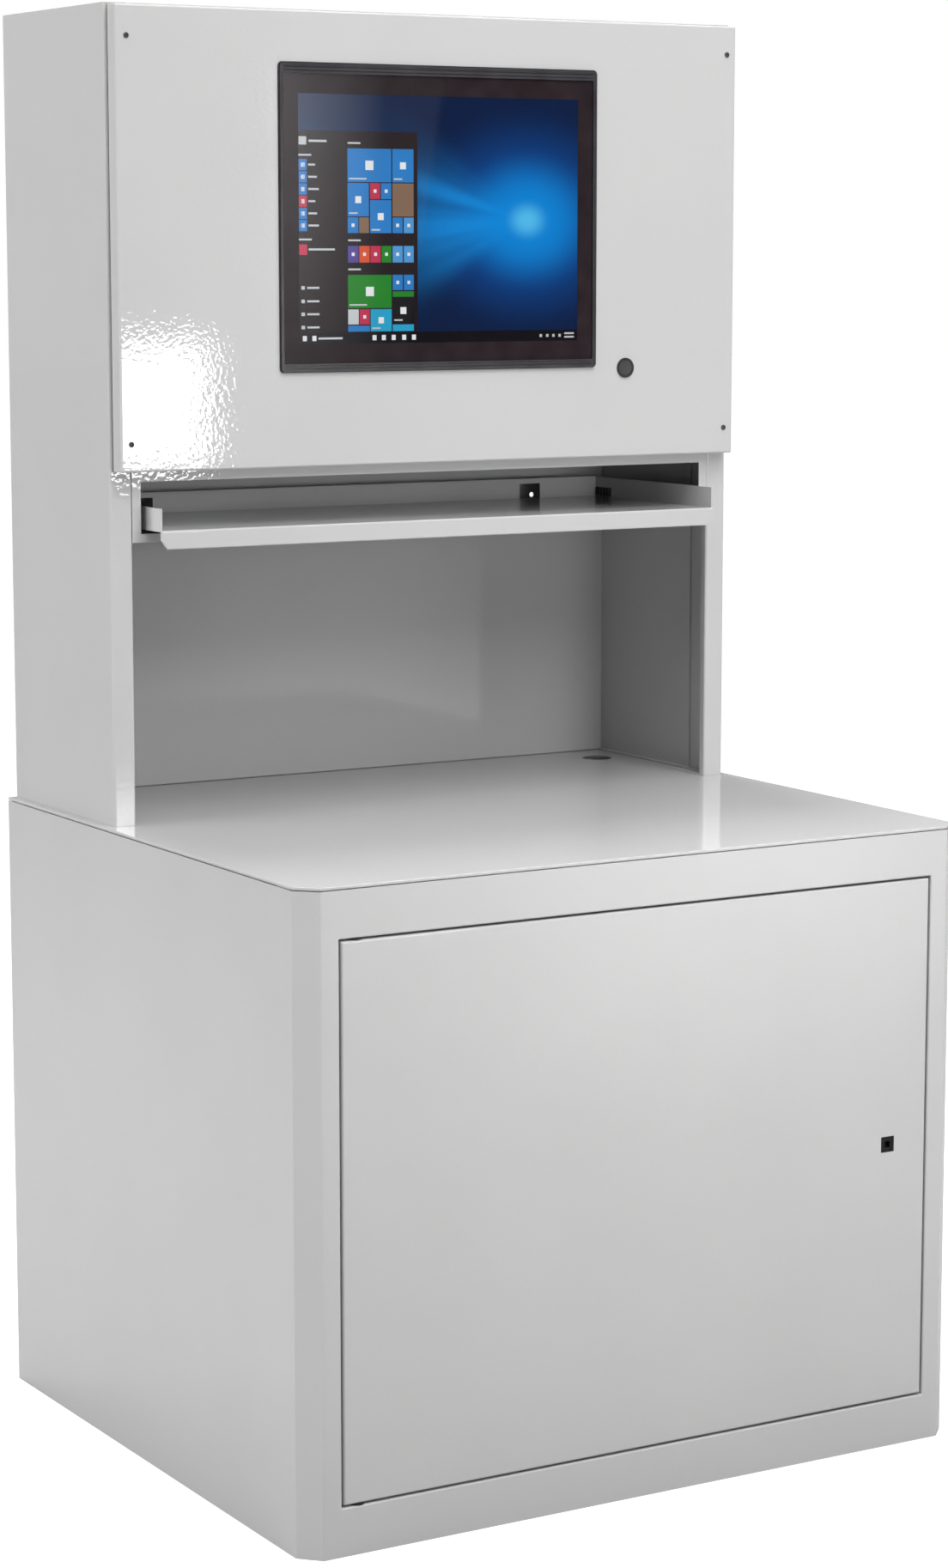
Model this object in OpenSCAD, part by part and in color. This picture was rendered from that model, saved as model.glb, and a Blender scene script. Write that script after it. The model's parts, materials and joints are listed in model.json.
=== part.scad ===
// Two-tier steel cabinet for a workshop computer: base cabinet with a flush door, worktop,
// and an upper cabinet with an open niche, a pull-out keyboard tray and a screen panel.
// Millimetres. Origin on the floor under the middle of the base, front towards -Y, +Z up.

/* [Cabinet] */
// Width over the worktop
cabinet_w = 700; // [660:1:760]
// Depth over the worktop
cabinet_d = 614; // [600:1:660]
// Height to the top of the roof
cabinet_h = 1344; // [1344:1:1400]
// Height of the worktop's upper face
worktop_h = 591; // [580:1:600]
// Thickness of the worktop plate
worktop_t = 3; // [2:0.5:4]
// Shadow gap between the base cabinet and the worktop
worktop_seam = 0.6; // [0.5:0.1:2]
// Thickness of the cabinet sheet
sheet = 1.5; // [1.2:0.1:2]
// Leg of the 45 degree front corners
corner_cut = 18; // [12:1:24]
// Diameter of the cable hole in the worktop
cable_hole_d = 30; // [20:1:40]

/* [Door] */
// Width of the front stile between corner and door opening
stile_w = 18; // [16:1:24]
// Lower edge of the door opening
opening_z0 = 44; // [38:1:60]
// Upper edge of the door opening
opening_z1 = 545; // [520:1:550]
// Clear gap round the door
door_gap = 2; // [1.8:0.1:2.5]
// Depth of the folded door
door_t = 18; // [17:1:20]
// Side of the square lock
lock_side = 15; // [14:0.5:18]
// Height of the lock above the floor
lock_z = 294; // [200:1:400]
// Lock centre to the door's free edge
lock_inset = 43.6; // [40:0.1:60]

/* [Upper cabinet] */
// Width over the side panels
upper_w = 683; // [676:1:690]
// Depth from the front posts to the back
upper_d = 228; // [226:1:240]
// Width of a front post
post_w = 22; // [18:1:26]
// Depth of a post's return edge
post_return = 8; // [5:1:12]
// Distance from the posts' face to the side liner
liner_set = 56; // [40:1:70]

/* [Screen panel] */
// Width of the screen panel
panel_w = 676; // [670:1:680]
// Lower edge of the screen panel
panel_z0 = 921; // [918:1:924]
// Height of the screen panel
panel_h = 421; // [415:1:421]
// Depth of the folded screen panel
panel_d = 16.5; // [14:0.5:20]
// Screw centres from the panel's side edges
screw_inset_x = 10.6; // [9:0.1:14]
// Screw centres from the panel's upper and lower edges
screw_inset_z = 26; // [20:0.5:40]

/* [Display] */
// Width of the display's bezel
bezel_w = 348; // [340:1:356]
// Height of the display's bezel
bezel_h = 286; // [280:1:292]
// Lower edge of the bezel
bezel_z0 = 1009; // [1000:1:1020]
// How far the bezel stands out of the screen panel
bezel_proud = 3; // [2:0.5:5]
// Width of the lit picture
picture_w = 306; // [300:1:310]
// Height of the lit picture
picture_h = 230; // [224:1:234]
// Depth of the display's rear housing
housing_d = 42; // [30:1:60]

/* [Power button] */
// Distance of the button from the middle of the cabinet
button_x = 209.5; // [200:0.5:230]
// Height of the button
button_z = 1008; // [1000:1:1040]
// Diameter over the button's ring
button_d = 19.4; // [18:0.1:22]
// Travel of the button
button_travel = 2; // [1:0.5:2]

/* [Keyboard bay] */
// Half width of the bay's opening
bay_half_w = 310.3; // [310:0.1:311]
// Lower edge of the bay's opening
bay_z0 = 863; // [862:0.5:864]
// Upper edge of the bay's opening
bay_z1 = 911; // [906:1:912]
// Height of the frame strip below the opening
bay_rail_h = 8; // [7:0.5:10]

/* [Keyboard tray] */
// Half width over the tray's side walls
tray_half_w = 305.2; // [304:0.1:305.5]
// Distance the tray stands out of the posts' face
tray_out = 33; // [30:1:60]
// Length of the tray
tray_l = 217.8; // [210:0.1:220]
// Height of the tray's walls above its floor
tray_wall_h = 20.3; // [16:0.1:24]
// Height of the tray's front lip
tray_lip_h = 17.5; // [14:0.5:20]
// Sheet thickness of the tray
tray_sheet = 1.2; // [1:0.1:1.2]

/* [Hidden] */
$fn = 48;
half_w = cabinet_w / 2;
front_y = -cabinet_d / 2;
back_y = cabinet_d / 2;
base_top = worktop_h - worktop_t - worktop_seam;
screw_head_h = 1.6;
base_back_y = back_y - 4.5;

// Door opening, door and its pivot
opening_half_w = half_w - corner_cut - stile_w;
jamb_d = door_t + 4;
stop_lap = 10;
door_half_w = opening_half_w - door_gap;
door_z0 = opening_z0 + door_gap;
door_z1 = opening_z1 - door_gap;
door_back_y = front_y + door_t;
door_lip = 14;
pivot_x = -door_half_w + 16;
pivot_y = front_y + 7;
pin_r = 3;
pin_clearance = 0.05;
bush_r = 4.5;
bush_flange_r = 7;
stop_start_x = pivot_x + 36;
seal_t = 2.2;

// Lock
lock_x = door_half_w - lock_inset;
lock_end_y = front_y + 20;
rotor_r = 5;
cam_w = 10;
cam_t = 2.5;
cam_y0 = front_y + 22.6;
cam_reach = opening_half_w - lock_x - 4;

// Upper cabinet
upper_half_w = upper_w / 2;
post_y = back_y - upper_d;
liner_y = post_y + liner_set;
liner_face_x = upper_half_w - 2 * sheet;
back_wall_y = back_y - 2 * sheet;
roof_z = cabinet_h - sheet;
post_inner_x = upper_half_w - post_w;
peep_hole_x = 250.5;
peep_hole_z = 868;

// Screen panel and display
panel_half_w = panel_w / 2;
panel_z1 = panel_z0 + panel_h;
panel_seal_t = 1;
panel_back_y = post_y - panel_seal_t;
panel_y = panel_back_y - panel_d;
screw_x = panel_half_w - screw_inset_x;
screw_zs = [panel_z0 + screw_inset_z - 0.5, panel_z1 - screw_inset_z - 2];
screw_r = 2;
bezel_half_w = bezel_w / 2;
bezel_z1 = bezel_z0 + bezel_h;
bezel_side = 4;
bezel_rib_low = 8;
bezel_rib_high = 10;
bezel_y = panel_y - bezel_proud;
glass_half_w = bezel_half_w - bezel_side;
glass_z0 = bezel_z0 + bezel_rib_low;
glass_z1 = bezel_z1 - bezel_rib_high;
glass_t = 2;
glass_y = bezel_y + 0.5;
picture_z = (glass_z0 + glass_z1) / 2;
housing_margin = 9;
housing_half_w = glass_half_w - housing_margin;
housing_z0 = glass_z0 + housing_margin / 2;
housing_z1 = glass_z1 - housing_margin / 2;
housing_y = panel_y + 4;
housing_back_y = housing_y + housing_d;
barrel_r = 8;
cap_r = 7.2;
cap_clearance = 0.08;

// Keyboard bay and tray
bay_floor_z = bay_z0 - bay_rail_h;
bay_frame_half_w = post_inner_x;
bay_frame_z1 = panel_z0 + 6;
bay_ceiling_z = bay_z1 + 8;
bay_sheet_half_w = liner_face_x;
tray_y = post_y - tray_out;
tray_back_y = tray_y + tray_l;
tray_floor_z = bay_z0 + 3.4;
tray_top_z = tray_floor_z + tray_sheet + tray_wall_h;
cut_out_x = 210.3;
cut_out_w = 25;
cut_out_top = 5.4;
shoe_l = 29;
shoe_h = 9;
shoe_y = tray_back_y - tray_sheet - shoe_l - 1;
shoe_z = tray_floor_z + tray_sheet + 0.3;
rail_gap = 0.3;
rail_sheet = 1.2;
rail_lip_x = bay_half_w + 0.7;
rail_web_x = rail_lip_x + 9;
rail_y0 = post_y + post_return + 1;
rail_y1 = back_wall_y - 2.5;

body_grey = [0.80, 0.81, 0.81];
plastic_black = [0.12, 0.12, 0.13];
steel = [0.72, 0.73, 0.75];

// A block between two corners
module block(low, high) {
    translate(low) cube(high - low);
}

// A frame in the XZ plane: half width, lower and upper edge outside, the same inside, front and back
module frame_xz(out_w, out_z0, out_z1, in_w, in_z0, in_z1, y0, y1) {
    difference() {
        block([-out_w, y0, out_z0], [out_w, y1, out_z1]);
        block([-in_w, y0 - 1, in_z0], [in_w, y1 + 1, in_z1]);
    }
}

// A cylinder along +Y
module rod_y(r, y0, y1) {
    translate([0, y0, 0]) rotate([-90, 0, 0]) cylinder(r = r, h = y1 - y0);
}

// A tube along +Y
module tube_y(r, bore_r, y0, y1) {
    difference() {
        rod_y(r, y0, y1);
        rod_y(bore_r, y0 - 1, y1 + 1);
    }
}

// The left side is drawn; the right one is its mirror image
module right() {
    mirror([1, 0, 0]) children();
}

module both_sides() {
    children();
    right() children();
}

// A pan head screw on a face that looks along -Y or, with out = 1, along +Y
module screw_y(y, out, head_r, shank) {
    rod_y(head_r, min(y, y + out * screw_head_h), max(y, y + out * screw_head_h));
    rod_y(screw_r, min(y, y - out * shank), max(y, y - out * shank));
}

/* ---- base cabinet ---- */

module base_side() {
    difference() {
        union() {
            linear_extrude(base_top) polygon([
                [-half_w, front_y + corner_cut],
                [-half_w, back_y],
                [-half_w + sheet, back_y],
                [-half_w + sheet, front_y + corner_cut + sheet * (sqrt(2) - 1)]
            ]);
            block([-half_w + sheet, base_back_y - sheet, sheet], [-half_w + 20, base_back_y, base_top]);
            block([-half_w + sheet, front_y + 24, sheet], [-half_w + 20, base_back_y - sheet, 2 * sheet]);
            block([-half_w + sheet, front_y + 60, base_top - sheet], [-half_w + 11, back_y - 40, base_top]);
        }
        back_screw_holes(base_back_screw_xs(), base_back_screw_zs(), back_y);
    }
}

module base_side_left() { color(body_grey) base_side(); }
module base_side_right() { color(body_grey) right() base_side(); }

// The folded 45 degree corner strip
module corner_strip() {
    inner = sheet * (sqrt(2) - 1);
    linear_extrude(base_top) polygon([
        [-half_w, front_y + corner_cut],
        [-half_w + corner_cut, front_y],
        [-half_w + corner_cut + inner, front_y + sheet],
        [-half_w + sheet, front_y + corner_cut + inner]
    ]);
}

module base_front_frame() {
    ring_half_w = half_w - corner_cut;
    jamb_y = front_y + jamb_d;
    stop_y = jamb_y - sheet;
    color(body_grey) difference() {
        union() {
            both_sides() corner_strip();
            frame_xz(ring_half_w, 0, base_top, opening_half_w, opening_z0, opening_z1,
                front_y, front_y + sheet);
            // jambs folded inwards all round the opening
            frame_xz(opening_half_w + sheet, opening_z0 - sheet, opening_z1 + sheet,
                opening_half_w, opening_z0, opening_z1, front_y, jamb_y);
            // door stop on the free side, above and below
            block([opening_half_w - stop_lap, stop_y, opening_z0], [opening_half_w, jamb_y, opening_z1]);
            for (z = [opening_z0, opening_z1 - stop_lap])
                block([stop_start_x, stop_y, z], [opening_half_w, jamb_y, z + stop_lap]);
            // edges folded inwards at the floor and under the worktop
            for (z = [sheet, base_top - sheet])
                block([-ring_half_w, front_y + sheet, z], [ring_half_w, jamb_y, z + sheet]);
        }
        for (z = [opening_z0 - sheet - 1, opening_z1 - 1])
            translate([pivot_x, pivot_y, z]) cylinder(r = bush_r, h = sheet + 2);
    }
}

anchor_x = 290;
anchor_y = 240;
anchor_r = 6;

// Flat floor sheet that fills the shell's plan
module base_floor() {
    inner = sheet * (sqrt(2) - 1);
    side = half_w - sheet;
    front = front_y + sheet;
    bend = front_y + corner_cut + inner;
    color(body_grey) difference() {
        linear_extrude(sheet) polygon([
            [-side, base_back_y], [-side, bend], [-half_w + corner_cut + inner, front],
            [half_w - corner_cut - inner, front], [side, bend], [side, base_back_y]
        ]);
        for (x = [-anchor_x, anchor_x], y = [-anchor_y, anchor_y])
            translate([x, y, -1]) cylinder(r = anchor_r, h = 10);
    }
}

function base_back_screw_xs() = [-half_w + 12, half_w - 12];
function base_back_screw_zs() = [40, 210, 380, 550];

module back_screw_holes(xs, zs, y) {
    for (x = xs, z = zs) translate([x, 0, z]) rod_y(screw_r, y - 12, y + 1);
}

// A rounded slot through the back panel
module vent_slot(length, width) {
    block([-length / 2, back_y - 10, -width / 2], [length / 2, back_y + 1, width / 2]);
    for (x = [-length / 2, length / 2]) translate([x, 0, 0]) rod_y(width / 2, back_y - 10, back_y + 1);
}

entry_x = -220;
entry_z = 90;
entry_r = 25;

module base_back() {
    color(body_grey) difference() {
        block([-half_w + sheet + 0.5, base_back_y, 0.5],
            [half_w - sheet - 0.5, base_back_y + sheet, base_top - 1]);
        back_screw_holes(base_back_screw_xs(), base_back_screw_zs(), back_y);
        for (row = [0:7], x = [-150, -50, 50, 150])
            translate([x, 0, 430 + row * 14]) vent_slot(60, 5);
        translate([entry_x, 0, entry_z]) rod_y(entry_r, back_y - 10, back_y + 1);
    }
}

module base_back_screws() {
    color(steel) for (x = base_back_screw_xs(), z = base_back_screw_zs())
        translate([x, 0, z]) screw_y(base_back_y + sheet, 1, 3.5, 8);
}

// A rubber ring that grips the sheet round the rear cable entry
module rear_cable_grommet() {
    color(plastic_black) translate([entry_x, 0, entry_z]) difference() {
        union() {
            rod_y(entry_r, base_back_y, base_back_y + sheet);
            tube_y(entry_r + 4, entry_r - 2, base_back_y - 2, base_back_y);
            tube_y(entry_r + 4, entry_r - 2, base_back_y + sheet, base_back_y + sheet + 2);
        }
        rod_y(entry_r - 5, back_y - 10, back_y + 1);
    }
}

// Square tube across the base, welded between the sides
module worktop_rail(y) {
    side = 25;
    color(body_grey) difference() {
        block([-half_w + sheet, y, worktop_h - worktop_t - side],
            [half_w - sheet, y + side, worktop_h - worktop_t]);
        block([-half_w, y + sheet, worktop_h - worktop_t - side + sheet],
            [half_w, y + side - sheet, worktop_h - worktop_t - sheet]);
    }
}

module worktop_rail_front() { worktop_rail(front_y + jamb_d + 2); }
module worktop_rail_rear() { worktop_rail(back_y - 35); }

foot_bolt_y = post_y + 14.5;
foot_bolt_xs = [-upper_half_w + 12, upper_half_w - 12];

module worktop() {
    color(body_grey) difference() {
        translate([0, 0, worktop_h - worktop_t]) linear_extrude(worktop_t) polygon([
            [-half_w, back_y], [-half_w, front_y + corner_cut], [-half_w + corner_cut, front_y],
            [half_w - corner_cut, front_y], [half_w, front_y + corner_cut], [half_w, back_y]
        ]);
        translate([cable_hole_x, cable_hole_y, 0]) cylinder(r = cable_hole_d / 2, h = worktop_h + 10);
        for (x = foot_bolt_xs) translate([x, foot_bolt_y, 0]) cylinder(r = 3, h = worktop_h + 10);
    }
}

cable_hole_x = 299;
cable_hole_y = back_y - 57;

/* ---- upper cabinet ---- */

// Outer sheet of one side: the front post and its return edge are folded from it
module upper_side() {
    difference() {
        union() {
            block([-upper_half_w, post_y, worktop_h], [-upper_half_w + sheet, back_y, cabinet_h]);
            block([-upper_half_w, post_y, worktop_h], [-post_inner_x, post_y + sheet, cabinet_h]);
            block([-post_inner_x - sheet, post_y, worktop_h],
                [-post_inner_x, post_y + post_return, roof_z]);
            block([-upper_half_w, back_y - sheet, worktop_h], [-upper_half_w + 20, back_y, roof_z]);
        }
        for (z = screw_zs) translate([-screw_x, 0, z]) rod_y(screw_r, post_y - 1, post_y + 5);
    }
}

module upper_side_left() { color(body_grey) upper_side(); }
module upper_side_right() { color(body_grey) right() upper_side(); }

// Stiffening sheet welded inside the outer one, from behind the post to the back wall
module side_liner() {
    bead = 2.5;
    block([-upper_half_w + sheet, liner_y, worktop_h], [-liner_face_x, back_wall_y, roof_z]);
    block([-liner_face_x, liner_y, worktop_h], [-liner_face_x + bead, back_wall_y, worktop_h + sheet]);
}

module side_liner_left() { color(body_grey) side_liner(); }
module side_liner_right() { color(body_grey) right() side_liner(); }

// Plate inside the foot of a post, bolted through the worktop
module foot_plate() {
    difference() {
        block([-upper_half_w + sheet, post_y + post_return + 1, worktop_h],
            [-post_inner_x - 1, liner_y - 1, worktop_h + sheet]);
        translate([foot_bolt_xs[0], foot_bolt_y, worktop_h - 1]) cylinder(r = 3, h = 10);
    }
}

module foot_plate_left() { color(body_grey) foot_plate(); }
module foot_plate_right() { color(body_grey) right() foot_plate(); }

module foot_bolts() {
    color(steel) for (x = foot_bolt_xs) translate([x, foot_bolt_y, 0]) {
        translate([0, 0, worktop_h + sheet]) cylinder(r = 5, h = 4, $fn = 6);
        translate([0, 0, worktop_h - 12]) cylinder(r = 3, h = 12 + sheet);
        translate([0, 0, worktop_h - worktop_t - 5]) difference() {
            cylinder(r = 5.5, h = 5, $fn = 6);
            cylinder(r = 3, h = 5);
        }
    }
}

// Back wall, welded to the sides' rear edges
module upper_back() {
    color(body_grey) difference() {
        block([-liner_face_x - sheet, back_wall_y, worktop_h + worktop_seam],
            [liner_face_x + sheet, back_wall_y + sheet, roof_z]);
        for (x = [-peep_hole_x, peep_hole_x])
            translate([x, 0, peep_hole_z]) rod_y(2.5, back_wall_y - 1, back_y + 1);
        for (row = [0:5], x = [-90, 0, 90])
            translate([x, 0, 1200 + row * 14]) vent_slot(60, 5);
    }
}

// Strip behind the back wall that ties its foot to the worktop
module back_foot_strip() {
    edge = upper_half_w - 20;
    color(body_grey) block([-edge, back_y - sheet, worktop_h], [edge, back_y, worktop_h + 25]);
}

// Roof sheet between the sides, folded down behind the screen panel
module roof() {
    edge = upper_half_w - sheet;
    color(body_grey) {
        block([-edge, post_y + sheet, roof_z], [edge, back_y, cabinet_h]);
        block([-post_inner_x, post_y, cabinet_h - 26], [post_inner_x, post_y + sheet, cabinet_h]);
    }
}

/* ---- keyboard bay ---- */

module bay_frame() {
    color(body_grey) frame_xz(bay_frame_half_w, bay_floor_z, bay_frame_z1,
        bay_half_w, bay_z0, bay_z1, post_y, post_y + sheet);
}

// Shelf sheet of the bay, notched round the posts' return edges
module bay_sheet(z) {
    color(body_grey) difference() {
        block([-bay_sheet_half_w, post_y + sheet, z], [bay_sheet_half_w, back_wall_y, z + sheet]);
        both_sides() block([-bay_sheet_half_w - 1, post_y, z - 1],
            [-bay_frame_half_w + 0.5, post_y + post_return + 2, z + sheet + 1]);
    }
}

module bay_floor() { bay_sheet(bay_floor_z); }
module bay_ceiling() { bay_sheet(bay_ceiling_z); }

// C-shaped runner on a foot, closed in front: the tray's shoe slides between its two lips
module runner_rail() {
    z0 = shoe_z - rail_gap;
    z1 = shoe_z + shoe_h + rail_gap;
    foot_z = bay_floor_z + sheet;
    translate([0, rail_y1, 0]) rotate([90, 0, 0]) linear_extrude(rail_y1 - rail_y0) polygon([
        [-rail_lip_x, z1], [-rail_web_x, z1], [-rail_web_x, z0], [-rail_lip_x, z0],
        [-rail_lip_x, z0 - rail_sheet], [-rail_web_x, z0 - rail_sheet], [-rail_web_x, foot_z],
        [-rail_web_x - 14, foot_z], [-rail_web_x - 14, foot_z + rail_sheet],
        [-rail_web_x - rail_sheet, foot_z + rail_sheet],
        [-rail_web_x - rail_sheet, z1 + rail_sheet], [-rail_lip_x, z1 + rail_sheet]
    ]);
    block([-rail_web_x, rail_y0, z0], [-rail_lip_x, rail_y0 + rail_sheet, z1]);
}

module runner_rail_left() { color(steel) runner_rail(); }
module runner_rail_right() { color(steel) right() runner_rail(); }

// Low-friction pads under the front of the tray
module tray_glides() {
    color(plastic_black) both_sides()
        block([-285, post_y + 4, bay_floor_z + sheet], [-255, post_y + 19, tray_floor_z - 0.3]);
}

/* ---- keyboard tray ---- */

module keyboard_tray() {
    t = tray_sheet;
    lip_z0 = tray_floor_z + t - tray_lip_h;
    hem = 5;
    color(body_grey) difference() {
        union() {
            block([-tray_half_w, tray_y, tray_floor_z], [tray_half_w, tray_back_y, tray_floor_z + t]);
            both_sides() block([-tray_half_w, tray_y + t, tray_floor_z],
                [-tray_half_w + t, tray_back_y, tray_top_z]);
            block([-tray_half_w, tray_back_y - t, tray_floor_z], [tray_half_w, tray_back_y, tray_top_z]);
            block([-tray_half_w, tray_y, lip_z0], [tray_half_w, tray_y + t, tray_floor_z + t]);
            // lower edge of the lip folded flat against its back
            block([-tray_half_w + 8, tray_y + t, lip_z0], [tray_half_w - 8, tray_y + 2 * t, lip_z0 + hem]);
        }
        both_sides() {
            // slanted lower corner of the lip
            translate([-tray_half_w, tray_y + 3, lip_z0]) rotate([90, 0, 0]) linear_extrude(4)
                polygon([[-1, -1], [6, -1], [6, 0], [0, 8], [-1, 8]]);
            // cable cut-out in the back wall
            block([-cut_out_x - cut_out_w, tray_back_y - t - 1, tray_floor_z + t],
                [-cut_out_x, tray_back_y + 1, tray_top_z - cut_out_top]);
            // slot for the shoe in the side wall
            block([-tray_half_w - 1, shoe_y, tray_floor_z + t],
                [-tray_half_w + t + 1, shoe_y + shoe_l, shoe_z + shoe_h]);
        }
    }
}

// Ribbed plastic shoe clipped into the side wall
module tray_shoe() {
    ribs = 5;
    pitch = shoe_l / ribs;
    block([-rail_web_x + rail_gap, shoe_y, shoe_z],
        [-tray_half_w + tray_sheet, shoe_y + shoe_l, shoe_z + shoe_h]);
    for (i = [0:ribs - 1])
        block([-tray_half_w + tray_sheet, shoe_y + i * pitch + 1, shoe_z],
            [-tray_half_w + tray_sheet + 1.6, shoe_y + i * pitch + pitch - 1.5, shoe_z + shoe_h]);
}

module tray_shoe_left() { color(plastic_black) tray_shoe(); }
module tray_shoe_right() { color(plastic_black) right() tray_shoe(); }

/* ---- screen panel and display ---- */

module screen_panel() {
    color(body_grey) difference() {
        union() {
            block([-panel_half_w, panel_y, panel_z0], [panel_half_w, panel_y + sheet, panel_z1]);
            frame_xz(panel_half_w, panel_z0, panel_z1, panel_half_w - sheet, panel_z0 + sheet,
                panel_z1 - sheet, panel_y, panel_back_y);
        }
        block([-housing_half_w - 1, panel_y - 1, housing_z0 - 1],
            [housing_half_w + 1, panel_y + 3, housing_z1 + 1]);
        both_sides() for (z = screw_zs)
            translate([-screw_x, 0, z]) rod_y(screw_r + 0.25, panel_y - 1, panel_y + 3);
        translate([button_x, 0, button_z]) rod_y(barrel_r + 0.1, panel_y - 1, panel_y + 3);
    }
}

// Foam ring between the panel's folded edge and the posts
module screen_panel_seal() {
    w = 5;
    color(plastic_black) frame_xz(panel_half_w - 0.2, panel_z0 + 0.2, panel_z1 - 0.2,
        panel_half_w - w, panel_z0 + w, panel_z1 - w, panel_back_y, post_y);
}

module screen_panel_spacers() {
    color(steel) both_sides() for (z = screw_zs)
        translate([-screw_x, 0, z]) tube_y(3.6, screw_r + 0.25, panel_y + sheet, post_y);
}

module screen_panel_screws() {
    head_r = 3.1;
    socket_r = 1.4;
    color(plastic_black) both_sides() for (z = screw_zs) translate([-screw_x, 0, z]) difference() {
        screw_y(panel_y, -1, head_r, panel_d + 6);
        translate([0, panel_y - screw_head_h - 0.1, 0])
            rotate([-90, 0, 0]) cylinder(r = socket_r, h = 1.2, $fn = 6);
    }
}

// Frame round the glass, with stepped ribs along its upper and lower edges
module display_bezel() {
    step = 0.6;
    low = bezel_rib_low / 3;
    high = bezel_rib_high / 3;
    color(plastic_black) difference() {
        block([-bezel_half_w, bezel_y, bezel_z0], [bezel_half_w, panel_y, bezel_z1]);
        block([-glass_half_w, bezel_y - 1, glass_z0], [glass_half_w, panel_y + 1, glass_z1]);
        for (z = [bezel_z0 + low, bezel_z0 + 2 * low, bezel_z1 - high, bezel_z1 - 2 * high])
            block([-glass_half_w, bezel_y - 1, z - 0.5], [glass_half_w, bezel_y + step, z + 0.5]);
    }
}

module display_glass() {
    color([0.15, 0.15, 0.17, 0.6])
        block([-glass_half_w + 0.1, glass_y, glass_z0 + 0.1],
            [glass_half_w - 0.1, glass_y + glass_t, glass_z1 - 0.1]);
}

module display_panel() {
    half_len = picture_w / 2 + 4;
    half_h = picture_h / 2 + 4;
    color([0.10, 0.16, 0.30]) block([-half_len, glass_y + glass_t, picture_z - half_h],
        [half_len, glass_y + glass_t + 6, picture_z + half_h]);
}

module display_board() {
    color([0.10, 0.35, 0.18]) block([-70, housing_back_y - 16, picture_z - 50],
        [70, housing_back_y - 14, picture_z + 50]);
}

// Rear housing of the display, open towards the glass
module display_housing() {
    wall = 2;
    color(plastic_black) difference() {
        block([-housing_half_w, glass_y + glass_t, housing_z0],
            [housing_half_w, housing_back_y, housing_z1]);
        block([-housing_half_w + wall, glass_y - 1, housing_z0 + wall],
            [housing_half_w - wall, housing_back_y - wall, housing_z1 - wall]);
        for (row = [0:5]) block([-60, housing_back_y - 5, housing_z1 - 50 + row * 7],
            [60, housing_back_y + 1, housing_z1 - 47 + row * 7]);
    }
}

// Angle pieces that pull the display against the panel
module display_clamps() {
    y0 = panel_y + sheet;
    color(steel) both_sides() for (z = [housing_z0 + 40, housing_z1 - 60]) {
        block([-housing_half_w - 22, y0, z], [-housing_half_w - 1.5, y0 + 2, z + 20]);
        block([-housing_half_w - 2, y0, z], [-housing_half_w, y0 + 22, z + 20]);
    }
}

module button_ring() {
    color(plastic_black) translate([button_x, 0, button_z]) {
        tube_y(button_d / 2, cap_r + cap_clearance, panel_y - 1.6, panel_y);
        tube_y(barrel_r, cap_r + cap_clearance, panel_y, panel_y + 18);
    }
}

module button_nut() {
    color(steel) translate([button_x, panel_y + sheet, button_z]) rotate([-90, 0, 0]) difference() {
        cylinder(r = 12, h = 3, $fn = 6);
        translate([0, 0, -1]) cylinder(r = barrel_r, h = 5);
    }
}

module button_switch() {
    color(plastic_black) translate([button_x, 0, button_z]) {
        rod_y(barrel_r, panel_y + 18, panel_y + 30);
        for (x = [-4, 4]) translate([x, 0, 0]) rod_y(0.8, panel_y + 30, panel_y + 36);
    }
}

module button_cap() {
    color([0.22, 0.22, 0.23]) translate([button_x, 0, button_z]) {
        rod_y(cap_r, panel_y - 1.2, panel_y + 4);
        rod_y(3, panel_y + 4, panel_y + 18 - button_travel - 0.4);
    }
}

/* ---- door ---- */

module door_skin() {
    lock_half = lock_side / 2;
    color(body_grey) difference() {
        union() {
            block([-door_half_w, front_y, door_z0], [door_half_w, front_y + sheet, door_z1]);
            frame_xz(door_half_w, door_z0, door_z1, door_half_w - sheet, door_z0 + sheet, door_z1 - sheet,
                front_y, door_back_y);
            frame_xz(door_half_w, door_z0, door_z1, door_half_w - door_lip, door_z0 + door_lip,
                door_z1 - door_lip, door_back_y - sheet, door_back_y);
        }
        for (z = [door_z0 - 1, door_z1 - sheet - 1])
            translate([pivot_x, pivot_y, z]) cylinder(r = pin_r, h = sheet + 2);
        block([lock_x - lock_half, front_y - 1, lock_z - lock_half],
            [lock_x + lock_half, front_y + 3, lock_z + lock_half]);
    }
}

// Hat section spot-welded to the back of the door
module door_stiffener() {
    w = 60;
    h = 12;
    color(body_grey) translate([0, 0, door_z0 + 18]) linear_extrude(door_z1 - door_z0 - 36) polygon([
        [-w / 2 - 14, front_y + sheet], [-w / 2 + sheet, front_y + sheet],
        [-w / 2 + sheet, front_y + h - sheet], [w / 2 - sheet, front_y + h - sheet],
        [w / 2 - sheet, front_y + sheet], [w / 2 + 14, front_y + sheet],
        [w / 2 + 14, front_y + 2 * sheet], [w / 2, front_y + 2 * sheet], [w / 2, front_y + h],
        [-w / 2, front_y + h], [-w / 2, front_y + 2 * sheet], [-w / 2 - 14, front_y + 2 * sheet]
    ]);
}

// Block welded into the door's corner, bored for the pin
module hinge_block(z0) {
    color(body_grey) difference() {
        block([-door_half_w + sheet, front_y + sheet, z0],
            [-door_half_w + 26, door_back_y - sheet, z0 + 14]);
        translate([pivot_x, pivot_y, z0 - 1]) cylinder(r = pin_r, h = 16);
    }
}

module hinge_block_upper() { hinge_block(door_z1 - sheet - 14); }
module hinge_block_lower() { hinge_block(door_z0 + sheet); }

module pin(z0, z1) {
    color(steel) translate([pivot_x, pivot_y, z0]) cylinder(r = pin_r, h = z1 - z0);
}

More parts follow.
